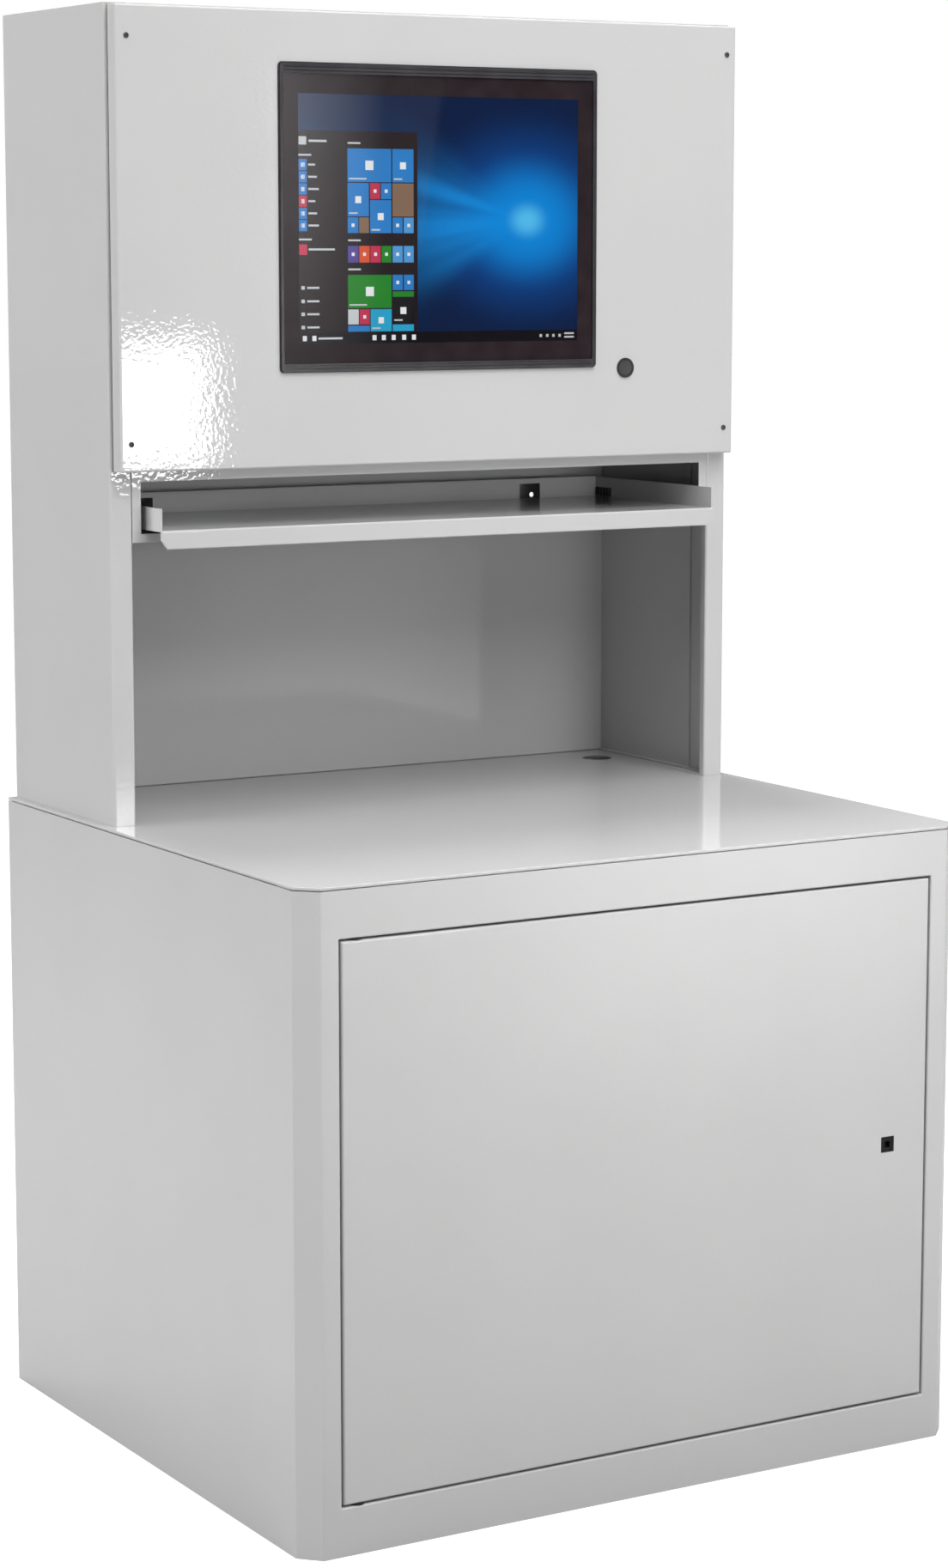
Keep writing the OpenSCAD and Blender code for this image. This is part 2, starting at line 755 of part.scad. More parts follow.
module hinge_pin_upper() { pin(door_z1 - sheet - 14, opening_z1 + 8); }
module hinge_pin_lower() { pin(opening_z0 - 8, door_z0 + sheet + 14); }

// Flanged bush pressed into the frame; dir points from the frame to the door
module bush(z_frame, z_flange) {
    color(plastic_black) translate([pivot_x, pivot_y, 0]) difference() {
        union() {
            translate([0, 0, min(z_frame, z_flange)]) cylinder(r = bush_r, h = abs(z_frame - z_flange));
            translate([0, 0, min(z_flange, door_side(z_flange))])
                cylinder(r = bush_flange_r, h = abs(z_flange - door_side(z_flange)));
        }
        translate([0, 0, min(z_frame, z_flange) - 20]) cylinder(r = pin_r + pin_clearance, h = 60);
    }
}

function door_side(z) = z == opening_z1 ? door_z1 + 0.3 : door_z0 - 0.3;

module hinge_bush_upper() { bush(opening_z1 + sheet + 2, opening_z1); }
module hinge_bush_lower() { bush(opening_z0 - sheet - 2, opening_z0); }

// Foam strip on the door stop: the free side, above and below
module door_seal() {
    y1 = front_y + jamb_d - sheet;
    y0 = y1 - seal_t;
    x1 = opening_half_w - 2.5;
    x0 = opening_half_w - stop_lap;
    color(plastic_black) {
        block([x0, y0, opening_z0 + 2.5], [x1, y1, opening_z1 - 2.5]);
        for (z = [opening_z0 + 2.5, opening_z1 - stop_lap])
            block([stop_start_x, y0, z], [x1, y1, z + stop_lap - 2.5]);
    }
}

module lock_housing() {
    half = lock_side / 2;
    color(plastic_black) difference() {
        union() {
            block([lock_x - half, front_y, lock_z - half], [lock_x + half, lock_end_y, lock_z + half]);
            block([lock_x - half - 3, front_y + sheet, lock_z - half - 3],
                [lock_x + half + 3, front_y + sheet + 2, lock_z + half + 3]);
        }
        translate([lock_x, 0, lock_z]) rod_y(rotor_r + pin_clearance, front_y - 1, lock_end_y + 1);
    }
}

// Plate that clamps the lock's collar to the door
module lock_plate() {
    half = lock_side / 2;
    y0 = front_y + sheet + 2;
    color(steel) difference() {
        block([lock_x - 20, y0, lock_z - 24], [lock_x + 20, y0 + sheet, lock_z + 24]);
        block([lock_x - half, y0 - 1, lock_z - half], [lock_x + half, y0 + sheet + 1, lock_z + half]);
    }
}

module lock_rotor() {
    socket = 3;
    color(plastic_black) difference() {
        translate([lock_x, 0, lock_z]) rod_y(rotor_r, front_y + 0.4, cam_y0);
        block([lock_x - socket, front_y - 1, lock_z - socket],
            [lock_x + socket, front_y + 6, lock_z + socket]);
    }
}

// Cam turned up, clear of the door stop; a quarter turn brings it behind the stop
module lock_cam() {
    color(steel) translate([lock_x, 0, lock_z]) difference() {
        union() {
            rod_y(8, cam_y0, cam_y0 + cam_t);
            block([-cam_w / 2, cam_y0, 0], [cam_w / 2, cam_y0 + cam_t, cam_reach]);
        }
        rod_y(2, cam_y0 - 1, cam_y0 + cam_t + 1);
    }
}

module cam_screw() {
    color(steel) translate([lock_x, 0, lock_z]) {
        rod_y(2, cam_y0, cam_y0 + cam_t);
        rod_y(4, cam_y0 + cam_t, cam_y0 + cam_t + 2.5);
    }
}

base_side_left();
base_side_right();
base_front_frame();
base_floor();
base_back();
base_back_screws();
rear_cable_grommet();
worktop_rail_front();
worktop_rail_rear();
worktop();
upper_side_left();
upper_side_right();
side_liner_left();
side_liner_right();
foot_plate_left();
foot_plate_right();
foot_bolts();
upper_back();
back_foot_strip();
roof();
bay_frame();
bay_floor();
bay_ceiling();
runner_rail_left();
runner_rail_right();
tray_glides();
screen_panel();
screen_panel_seal();
screen_panel_spacers();
screen_panel_screws();
display_bezel();
display_glass();
display_panel();
display_board();
display_housing();
display_clamps();
button_ring();
button_nut();
button_switch();
button_cap();
door_skin();
door_stiffener();
hinge_block_upper();
hinge_block_lower();
hinge_pin_upper();
hinge_pin_lower();
hinge_bush_upper();
hinge_bush_lower();
door_seal();
lock_housing();
lock_plate();
lock_rotor();
lock_cam();
cam_screw();
keyboard_tray();
tray_shoe_left();
tray_shoe_right();
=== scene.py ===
"""Looks of a two-tier steel cabinet for a workshop computer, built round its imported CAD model."""

import json
import math

import bmesh
import bpy
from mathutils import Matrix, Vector


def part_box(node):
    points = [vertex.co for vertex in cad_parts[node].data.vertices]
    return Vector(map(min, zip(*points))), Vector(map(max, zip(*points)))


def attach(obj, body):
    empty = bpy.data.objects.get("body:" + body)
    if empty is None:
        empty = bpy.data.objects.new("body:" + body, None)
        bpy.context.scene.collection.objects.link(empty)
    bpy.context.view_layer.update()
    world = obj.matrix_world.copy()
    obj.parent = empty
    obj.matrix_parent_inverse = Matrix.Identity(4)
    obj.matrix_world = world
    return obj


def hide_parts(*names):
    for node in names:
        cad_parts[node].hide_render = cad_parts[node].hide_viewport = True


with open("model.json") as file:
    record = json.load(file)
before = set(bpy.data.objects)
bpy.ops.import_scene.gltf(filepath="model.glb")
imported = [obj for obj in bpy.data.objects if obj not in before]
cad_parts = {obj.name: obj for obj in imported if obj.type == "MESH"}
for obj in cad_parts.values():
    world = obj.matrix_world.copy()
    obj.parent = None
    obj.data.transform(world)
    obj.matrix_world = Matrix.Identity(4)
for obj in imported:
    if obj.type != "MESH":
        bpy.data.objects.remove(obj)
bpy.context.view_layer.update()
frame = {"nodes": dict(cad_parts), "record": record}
NODES = frame["nodes"]

MM = 0.001
SHEET = 1.5 * MM
BEND = 2.2 * MM
BEND_STEPS = 5
POWDER_GLOSS = 0.028


# ---------------------------------------------------------------- material helpers

def bare_material(name):
    """An empty node material: the material, its nodes, its links and its surface socket."""
    mat = bpy.data.materials.new(name)
    mat.use_nodes = True
    nodes = mat.node_tree.nodes
    nodes.clear()
    out = nodes.new("ShaderNodeOutputMaterial")
    return mat, nodes, mat.node_tree.links, out.inputs["Surface"]


def new_material(name):
    """A node material with a Principled shader: the material, its nodes, its links and the shader."""
    mat, nodes, links, surface = bare_material(name)
    shader = nodes.new("ShaderNodeBsdfPrincipled")
    links.new(shader.outputs["BSDF"], surface)
    return mat, nodes, links, shader


def object_coords(nodes):
    """Coordinates in metres that stay with the piece."""
    return nodes.new("ShaderNodeTexCoord").outputs["Object"]


def noise(nodes, links, coords, scale, detail=2.0):
    """Noise over object coordinates; scale counts features in a metre."""
    node = nodes.new("ShaderNodeTexNoise")
    node.inputs["Scale"].default_value = scale
    node.inputs["Detail"].default_value = detail
    links.new(coords, node.inputs["Vector"])
    return node.outputs["Fac"]


def mapped(nodes, links, value, low, high, from_low=0.3, from_high=0.7):
    """Moves a value from one range to another; the first range defaults to that of noise."""
    node = nodes.new("ShaderNodeMapRange")
    node.inputs["From Min"].default_value = from_low
    node.inputs["From Max"].default_value = from_high
    node.inputs["To Min"].default_value = low
    node.inputs["To Max"].default_value = high
    links.new(value, node.inputs["Value"])
    return node.outputs["Result"]


def maths(nodes, links, operation, first, second=None):
    """A value worked out from sockets or numbers."""
    node = nodes.new("ShaderNodeMath")
    node.operation = operation
    for socket, value in zip(node.inputs, (first, second)):
        if value is None:
            continue
        if isinstance(value, (int, float)):
            socket.default_value = value
        else:
            links.new(value, socket)
    return node.outputs["Value"]


def mixed(nodes, links, factor, first, second):
    """A blend of two colours, each of them fixed or from a socket."""
    node = nodes.new("ShaderNodeMix")
    node.data_type = "RGBA"
    links.new(factor, node.inputs[0])
    for socket, colour in ((node.inputs[6], first), (node.inputs[7], second)):
        if isinstance(colour, tuple):
            socket.default_value = (*colour, 1.0)
        else:
            links.new(colour, socket)
    return node.outputs[2]


def bump(nodes, links, height, strength, distance, below=None):
    """A normal raised by a height in metres, on top of another normal if one is given."""
    node = nodes.new("ShaderNodeBump")
    node.inputs["Strength"].default_value = strength
    node.inputs["Distance"].default_value = distance
    links.new(height, node.inputs["Height"])
    if below is not None:
        links.new(below, node.inputs["Normal"])
    return node.outputs["Normal"]


def powder_coat(name, colour, roughness):
    """Glossy baked powder coat: orange peel in 4 mm cells, finer grain, slight changes of tone."""
    mat, nodes, links, shader = new_material(name)
    coords = object_coords(nodes)
    dark = tuple(c * 0.975 for c in colour)
    tone = mapped(nodes, links, noise(nodes, links, coords, 9.0, 3.0), 0.0, 1.0)
    links.new(mixed(nodes, links, tone, dark, colour), shader.inputs["Base Color"])
    gloss = mapped(nodes, links, noise(nodes, links, coords, 60.0, 2.0), roughness * 0.9, roughness * 1.1)
    links.new(gloss, shader.inputs["Roughness"])
    orange_peel = noise(nodes, links, coords, 230.0, 1.0)
    grain = noise(nodes, links, coords, 1400.0, 2.0)
    wave = noise(nodes, links, coords, 5.0, 1.0)
    normal = bump(nodes, links, wave, 1.0, 0.00012)
    normal = bump(nodes, links, orange_peel, 1.0, 0.000075, normal)
    normal = bump(nodes, links, grain, 1.0, 0.0000008, normal)
    links.new(normal, shader.inputs["Normal"])
    return mat


def moulded_plastic(name, colour, roughness, grain_scale=1800.0, grain=0.25, specular=0.5):
    """Moulded plastic with a fine spark-eroded grain."""
    mat, nodes, links, shader = new_material(name)
    coords = object_coords(nodes)
    light = tuple(min(1.0, c * 1.35 + 0.002) for c in colour)
    tone = mapped(nodes, links, noise(nodes, links, coords, 45.0, 4.0), 0.0, 1.0)
    links.new(mixed(nodes, links, tone, colour, light), shader.inputs["Base Color"])
    gloss = mapped(nodes, links, noise(nodes, links, coords, 300.0), roughness * 0.85, roughness * 1.15)
    links.new(gloss, shader.inputs["Roughness"])
    height = noise(nodes, links, coords, grain_scale, 2.0)
    links.new(bump(nodes, links, height, grain, 0.0001), shader.inputs["Normal"])
    shader.inputs["Specular IOR Level"].default_value = specular
    return mat


def plated_steel(name, colour, roughness):
    """Zinc-plated steel: drawn lines, small cloudy spangle, clear gloss changes."""
    mat, nodes, links, shader = new_material(name)
    coords = object_coords(nodes)
    dark = tuple(c * 0.8 for c in colour)
    tone = mapped(nodes, links, noise(nodes, links, coords, 120.0, 3.0), 0.0, 1.0)
    links.new(mixed(nodes, links, tone, dark, colour), shader.inputs["Base Color"])
    shader.inputs["Metallic"].default_value = 1.0
    gloss = mapped(nodes, links, noise(nodes, links, coords, 500.0), roughness * 0.8, roughness * 1.3)
    links.new(gloss, shader.inputs["Roughness"])
    stretch = nodes.new("ShaderNodeMapping")
    stretch.inputs["Scale"].default_value = (1.0, 1.0, 0.03)
    links.new(coords, stretch.inputs["Vector"])
    lines = noise(nodes, links, stretch.outputs["Vector"], 2500.0, 2.0)
    links.new(bump(nodes, links, lines, 0.15, 0.00005), shader.inputs["Normal"])
    return mat


def circuit_board(name):
    """Green solder mask with fine copper tracks and a scatter of small dark parts."""
    mat, nodes, links, shader = new_material(name)
    coords = object_coords(nodes)
    tracks = nodes.new("ShaderNodeTexBrick")
    links.new(coords, tracks.inputs["Vector"])
    tracks.inputs["Scale"].default_value = 260.0
    tracks.inputs["Color1"].default_value = (0.012, 0.075, 0.030, 1.0)
    tracks.inputs["Color2"].default_value = (0.016, 0.095, 0.040, 1.0)
    tracks.inputs["Mortar"].default_value = (0.030, 0.150, 0.060, 1.0)
    tracks.inputs["Mortar Size"].default_value = 0.06
    parts = nodes.new("ShaderNodeTexVoronoi")
    parts.inputs["Scale"].default_value = 180.0
    links.new(coords, parts.inputs["Vector"])
    dark = mapped(nodes, links, parts.outputs["Distance"], 1.0, 0.0, 0.16, 0.20)
    colour = mixed(nodes, links, dark, tracks.outputs["Color"], (0.012, 0.012, 0.013))
    links.new(colour, shader.inputs["Base Color"])
    shader.inputs["Roughness"].default_value = 0.35
    links.new(bump(nodes, links, dark, 0.4, 0.0004), shader.inputs["Normal"])
    return mat


def foam_rubber(name, colour):
    """Closed-cell foam strip with open pores on its cut face."""
    mat, nodes, links, shader = new_material(name)
    coords = object_coords(nodes)
    light = tuple(c * 1.8 for c in colour)
    cells = nodes.new("ShaderNodeTexVoronoi")
    cells.inputs["Scale"].default_value = 1400.0
    links.new(coords, cells.inputs["Vector"])
    links.new(mixed(nodes, links, cells.outputs["Distance"], light, colour), shader.inputs["Base Color"])
    shader.inputs["Roughness"].default_value = 0.85
    links.new(bump(nodes, links, cells.outputs["Distance"], 0.5, 0.0002), shader.inputs["Normal"])
    return mat


# ---------------------------------------------------------------- mesh helpers

def mesh_object(name, bm, materials):
    """An object made from a bmesh, which is used up."""
    mesh = bpy.data.meshes.new(name)
    bm.to_mesh(mesh)
    bm.free()
    for material in materials:
        mesh.materials.append(material)
    obj = bpy.data.objects.new(name, mesh)
    bpy.context.scene.collection.objects.link(obj)
    return obj


def add_object(name, bm, material, body, replaces, sharp=35.0):
    """Turns a bmesh into a piece that rides on a body and stands for the CAD nodes it replaces."""
    bmesh.ops.remove_doubles(bm, verts=bm.verts, dist=1e-6)
    bmesh.ops.recalc_face_normals(bm, faces=bm.faces)
    obj = mesh_object(name, bm, [material])
    obj.data.shade_smooth()
    obj.data.set_sharp_from_angle(angle=math.radians(sharp))
    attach(obj, body)
    if replaces:
        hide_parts(*replaces)
    return obj


def finish_sheet(obj, thickness=SHEET, outward=-1.0, edge=0.25 * MM):
    """Gives an open surface its sheet thickness, breaks the cut edges and evens the shading."""
    solid = obj.modifiers.new("thickness", "SOLIDIFY")
    solid.thickness = thickness
    solid.offset = outward
    solid.use_even_offset = True
    soften(obj, edge)


def soften(obj, width, segments=2, angle=40.0):
    """Rounds the sharp edges and evens the shading of the flat faces."""
    bevel = obj.modifiers.new("edges", "BEVEL")
    bevel.width = width
    bevel.segments = segments
    bevel.limit_method = "ANGLE"
    bevel.angle_limit = math.radians(angle)
    bevel.use_clamp_overlap = True
    bevel.miter_outer = "MITER_ARC"
    even = obj.modifiers.new("shading", "WEIGHTED_NORMAL")
    even.keep_sharp = True
    even.weight = 80


def fillet_path(points, radius):
    """A polyline with every inner corner rounded by the bend radius, or less where a leg is short."""
    pts = [Vector(p) for p in points]
    path = [pts[0]]
    for before, corner, after in zip(pts, pts[1:], pts[2:]):
        back = (before - corner).normalized()
        ahead = (after - corner).normalized()
        half = back.angle(ahead) / 2
        shortest = min((before - corner).length, (after - corner).length)
        set_off = min(radius / math.tan(half), 0.48 * shortest)
        centre = corner + (back + ahead).normalized() * (set_off / math.cos(half))
        start = corner + back * set_off - centre
        end = corner + ahead * set_off - centre
        turn = start.angle(end)
        for i in range(BEND_STEPS + 1):
            t = i / BEND_STEPS
            way = (start * math.sin((1 - t) * turn) + end * math.sin(t * turn)) / math.sin(turn)
            path.append(centre + way)
    path.append(pts[-1])
    return path


def loft(bm, rings, closed=True):
    """Joins rings of equal length with quads. Returns the rings' vertices."""
    made = [[bm.verts.new(p) for p in ring] for ring in rings]
    for low, high in zip(made, made[1:]):
        count = len(low)
        for i in range(count if closed else count - 1):
            j = (i + 1) % count
            bm.faces.new((low[i], low[j], high[j], high[i]))
    return made


def rounded_rect(x0, x1, z0, z1, radius, y, steps=3):
    """Points round a rectangle in the XZ plane, anticlockwise seen from the front."""
    corners = ((x1 - radius, z1 - radius, 0.0), (x0 + radius, z1 - radius, 90.0),
               (x0 + radius, z0 + radius, 180.0), (x1 - radius, z0 + radius, 270.0))
    ring = []
    for cx, cz, start in corners:
        for i in range(steps + 1):
            a = math.radians(start + 90.0 * i / steps)
            ring.append(Vector((cx + radius * math.cos(a), y, cz + radius * math.sin(a))))
    return ring


def circle(x, z, radius, y, steps=32):
    """Points round a circle in the XZ plane."""
    angles = [2 * math.pi * i / steps for i in range(steps)]
    return [Vector((x + radius * math.cos(a), y, z + radius * math.sin(a))) for a in angles]


def fill_between(bm, loops):
    """Fills the flat area between an outer loop of vertices and the holes in it."""
    edges = []
    for loop in loops:
        count = len(loop)
        for i in range(count):
            pair = (loop[i], loop[(i + 1) % count])
            edges.append(bm.edges.get(pair) or bm.edges.new(pair))
    bmesh.ops.triangle_fill(bm, use_beauty=True, use_dissolve=False, edges=edges)


def bend_rings(x0, x1, z0, z1, y, depth, radius, inwards, corner):
    """Rings of a flange folded back from a flat face: round a plate, or inwards round an opening."""
    side = 1.0 if inwards else -1.0
    rings = []
    for i in range(BEND_STEPS + 1):
        a = math.pi / 2 * i / BEND_STEPS
        grow = side * radius * (1 - math.sin(a))
        rings.append(rounded_rect(x0 - grow, x1 + grow, z0 - grow, z1 + grow,
                                  corner + max(0.0, grow), y + radius * (1 - math.cos(a))))
    rings.append(rounded_rect(x0, x1, z0, z1, corner, y + depth))
    return rings


def folded_pan(name, box, y, depth, lip, body, replaces, holes):
    """A plate with all four edges folded back, a lip folded in behind them, and holes through its face."""
    bm = bmesh.new()
    x0, x1, z0, z1 = box
    corner = 1.0 * MM
    rings = bend_rings(x0, x1, z0, z1, y, depth - SHEET, BEND, False, corner)
    if lip:
        for i in range(1, 4):
            a = math.pi / 2 * i / 3
            inset = SHEET * (1 - math.cos(a))
            rings.append(rounded_rect(x0 + inset, x1 - inset, z0 + inset, z1 - inset, corner,
                                      y + depth - SHEET + SHEET * math.sin(a)))
        rings.append(rounded_rect(x0 + lip, x1 - lip, z0 + lip, z1 - lip, corner, y + depth))
    else:
        rings[-1] = rounded_rect(x0, x1, z0, z1, corner, y + depth)
    made = loft(bm, rings)
    fill_between(bm, [made[0]] + [[bm.verts.new(p) for p in hole] for hole in holes])
    obj = add_object(name, bm, coat, body, replaces)
    finish_sheet(obj)


# ---------------------------------------------------------------- materials

GREY = (0.50, 0.50, 0.50)
coat = powder_coat("grey_powder_coat", GREY, POWDER_GLOSS)
zinc = plated_steel("zinc_plated_steel", (0.66, 0.67, 0.69), 0.32)
black_oxide = plated_steel("black_screw_steel", (0.028, 0.028, 0.030), 0.5)
screw_paint = moulded_plastic("painted_screw_heads", (0.048, 0.048, 0.048), 0.5)
black = moulded_plastic("black_moulded_plastic", (0.018, 0.018, 0.021), 0.42)
cap_grey = moulded_plastic("mottled_button_plastic", (0.038, 0.037, 0.038), 0.5, 900.0, 0.6)
# dark grey for the cable hole's wall: painted shade standing in for the shadow down the hole
hole_wall_painted_shade = moulded_plastic("cable_hole_painted_shade", (0.11, 0.11, 0.11), 0.5)
# the lock is black plastic; its near-zero colour also paints the shade of a recessed face
lock_black_and_painted_shade = moulded_plastic("matt_black_lock_and_painted_shade", (0.004, 0.004, 0.004), 0.75, 1800.0, 0.4)
nylon = moulded_plastic("black_nylon", (0.015, 0.015, 0.016), 0.5)
rubber = foam_rubber("black_foam", (0.012, 0.012, 0.012))
board = circuit_board("green_circuit_board")
bezel_plastic = moulded_plastic("bezel_plastic", (0.032, 0.030, 0.033), 0.36)
bezel_edge = moulded_plastic("bezel_edge_plastic", (0.007, 0.007, 0.008), 0.45)
mask_print = moulded_plastic("glass_mask_print", (0.0185, 0.0130, 0.0152), 0.6, 400.0, 0.05, 0.0)


# ---------------------------------------------------------------- the base shell

CORNER_CUT = 18 * MM
FLANGE = 18.5 * MM
TOP_FLANGE = 9.5 * MM
STOP_LAP = 10 * MM
DOOR_GAP = 2 * MM
door_low, door_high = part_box("door_skin")


def half_plan(sign):
    """Outer line of one side in plan: rear end, side, 45 degree corner, front up to the door frame."""
    low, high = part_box("base_front_frame")
    side_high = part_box("base_side_right")[1]
    x = high.x
    y = low.y
    points = [(x, side_high.y), (x, y + CORNER_CUT), (x - CORNER_CUT, y), (x - CORNER_CUT - 6 * MM, y)]
    return [Vector((sign * px, py, 0.0)) for px, py in points]


def base_shell():
    """Sides, corners, door frame and its jambs as one welded and ground sheet shell."""
    bm = bmesh.new()
    low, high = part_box("base_front_frame")
    z0, z1 = 0.0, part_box("base_side_left")[1].z
    gap = DOOR_GAP
    ends = []
    for sign in (-1.0, 1.0):
        path = fillet_path(half_plan(sign), 3.0 * MM)
        rings = [[Vector((p.x, p.y, z)) for p in path] for z in (z0, z1)]
        made = loft(bm, rings, closed=False)
        ends.append((made[0][-1], made[1][-1]))
    opening = bend_rings(door_low.x - gap, door_high.x + gap, door_low.z - gap, door_high.z + gap,
                         low.y, high.y - low.y, 1.6 * MM, True, 0.6 * MM)
    made = loft(bm, opening)
    (left_low, left_high), (right_low, right_high) = ends
    fill_between(bm, [[left_low, right_low, right_high, left_high], made[0]])
    obj = add_object("base_shell", bm, coat, "cabinet",
                     ("base_side_left", "base_side_right", "base_front_frame"))
    finish_sheet(obj)


def strips(name, boxes, material, body):
    """Straight pieces of flat stock with broken edges, each given by its two opposite corners."""
    bm = bmesh.new()
    for low, high in boxes:
        lower, upper = [[bm.verts.new((x, y, z)) for x, y in ((low[0], low[1]), (high[0], low[1]),
                                                              (high[0], high[1]), (low[0], high[1]))]
                        for z in (low[2], high[2])]
        bm.faces.new(lower)
        bm.faces.new(upper)
        for i in range(4):
            j = (i + 1) % 4
            bm.faces.new((lower[i], lower[j], upper[j], upper[i]))
    obj = add_object(name, bm, material, body, ())
    soften(obj, 0.3 * MM)


def base_folds():
    """Edges folded inwards round the base shell, and the door's stop."""
    frame_low, frame_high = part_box("base_front_frame")
    side_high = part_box("base_side_left")[1]
    back_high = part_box("base_back")[0].y
    wall = frame_high.x - SHEET
    boxes = []
    for sign in (-1.0, 1.0):
        x0, x1 = sorted((sign * wall, sign * (wall - FLANGE)))
        boxes.append(((x0, back_high - SHEET, SHEET), (x1, back_high, side_high.z)))
        boxes.append(((x0, frame_low.y + 24 * MM, SHEET), (x1, back_high - SHEET, 2 * SHEET)))
        t0, t1 = sorted((sign * wall, sign * (wall - TOP_FLANGE)))
        boxes.append(((t0, frame_low.y + 60 * MM, side_high.z - SHEET),
                      (t1, side_high.y - 40 * MM, side_high.z)))
    front_half = frame_high.x - CORNER_CUT
    for z in (SHEET, side_high.z - SHEET):
        boxes.append(((-front_half, frame_low.y + SHEET, z), (front_half, frame_high.y, z + SHEET)))
    opening_half = door_high.x + DOOR_GAP
    opening_z = (door_low.z - DOOR_GAP, door_high.z + DOOR_GAP)
    stop_y = frame_high.y - SHEET
    boxes.append(((opening_half - STOP_LAP, stop_y, opening_z[0]),
                  (opening_half, frame_high.y, opening_z[1])))
    stop_x = door_low.x + 52 * MM
    for z0, z1 in ((opening_z[0], opening_z[0] + STOP_LAP), (opening_z[1] - STOP_LAP, opening_z[1])):
        boxes.append(((stop_x, stop_y, z0), (opening_half - STOP_LAP, frame_high.y, z1)))
    strips("base_folds", boxes, coat, "cabinet")


base_shell()
base_folds()

# ---------------------------------------------------------------- folded plates

lock_low, lock_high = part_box("lock_housing")
lock_centre = (lock_low + lock_high) / 2
LOCK_HALF = 7.5 * MM
DOOR_LIP = 14 * MM
folded_pan("door_plate", (door_low.x, door_high.x, door_low.z, door_high.z), door_low.y,
           door_high.y - door_low.y, DOOR_LIP, "door", ("door_skin",),
           [rounded_rect(lock_centre.x - LOCK_HALF, lock_centre.x + LOCK_HALF,
                         lock_centre.z - LOCK_HALF, lock_centre.z + LOCK_HALF, 0.5 * MM, door_low.y)])

pan_low, pan_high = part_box("screen_panel")
house_low, house_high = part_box("display_housing")
button_low, button_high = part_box("button_ring")
screws_low, screws_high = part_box("screen_panel_screws")
# the screws' axes, from the radius of their heads in the CAD
SCREW_HEAD_R = 3.1 * MM
screw_x = screws_high.x - SCREW_HEAD_R
screw_zs = (screws_low.z + SCREW_HEAD_R, screws_high.z - SCREW_HEAD_R)
button_centre = (button_low + button_high) / 2
pan_holes = [rounded_rect(house_low.x - MM, house_high.x + MM, house_low.z - MM, house_high.z + MM,
                          MM, pan_low.y),
             circle(button_centre.x, button_centre.z, 8.1 * MM, pan_low.y)]
for sx in (-screw_x, screw_x):
    for sz in screw_zs:
        pan_holes.append(circle(sx, sz, 2.2 * MM, pan_low.y, 16))
folded_pan("screen_panel_plate", (pan_low.x, pan_high.x, pan_low.z, pan_high.z), pan_low.y,
           pan_high.y - pan_low.y, 0.0, "cabinet", ("screen_panel",), pan_holes)


def panel_screws():
    """Small domed screws with a round recess in the head, and the shank behind it."""
    bm = bmesh.new()
    shank, head, dome, recess = 1.7 * MM, 2.6 * MM, 2.2 * MM, 1.2 * MM
    face_y = pan_low.y
    front_y = screws_low.y
    profile = [(shank, screws_high.y), (shank, face_y), (head, face_y), (head, face_y - 0.7 * MM),
               (dome, face_y - 1.2 * MM), (recess + 0.3 * MM, front_y), (recess, front_y),
               (recess, front_y + 0.9 * MM)]
    for x in (-screw_x, screw_x):
        for z in screw_zs:
            made = loft(bm, [circle(x, z, radius, y, 24) for radius, y in profile])
            bm.faces.new(made[0])
            bm.faces.new(made[-1])
    add_object("panel_screws", bm, screw_paint, "cabinet", ("screen_panel_screws",))


panel_screws()


def upper_side(sign, node):
    """Side sheet with the front post and the rear edge folded from it."""
    low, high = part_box(node)
    outer = max(-low.x, high.x)
    inner = outer - 22 * MM
    points = [(outer - 20 * MM, high.y), (outer, high.y), (outer, low.y),
              (inner, low.y), (inner, low.y + 8 * MM)]
    path = fillet_path([Vector((sign * x, y, 0.0)) for x, y in points], BEND)
    bm = bmesh.new()
    loft(bm, [[Vector((p.x, p.y, z)) for p in path] for z in (low.z, high.z)], closed=False)
    obj = add_object(node + "_sheet", bm, coat, "cabinet", (node,))
    finish_sheet(obj)


upper_side(-1.0, "upper_side_left")
upper_side(1.0, "upper_side_right")

# ---------------------------------------------------------------- worktop

# the cable hole: its radius, and its place from the middle and from the rear edge
CABLE_HOLE_R = 15 * MM
CABLE_HOLE_X = 299 * MM
CABLE_HOLE_BACK = 57 * MM


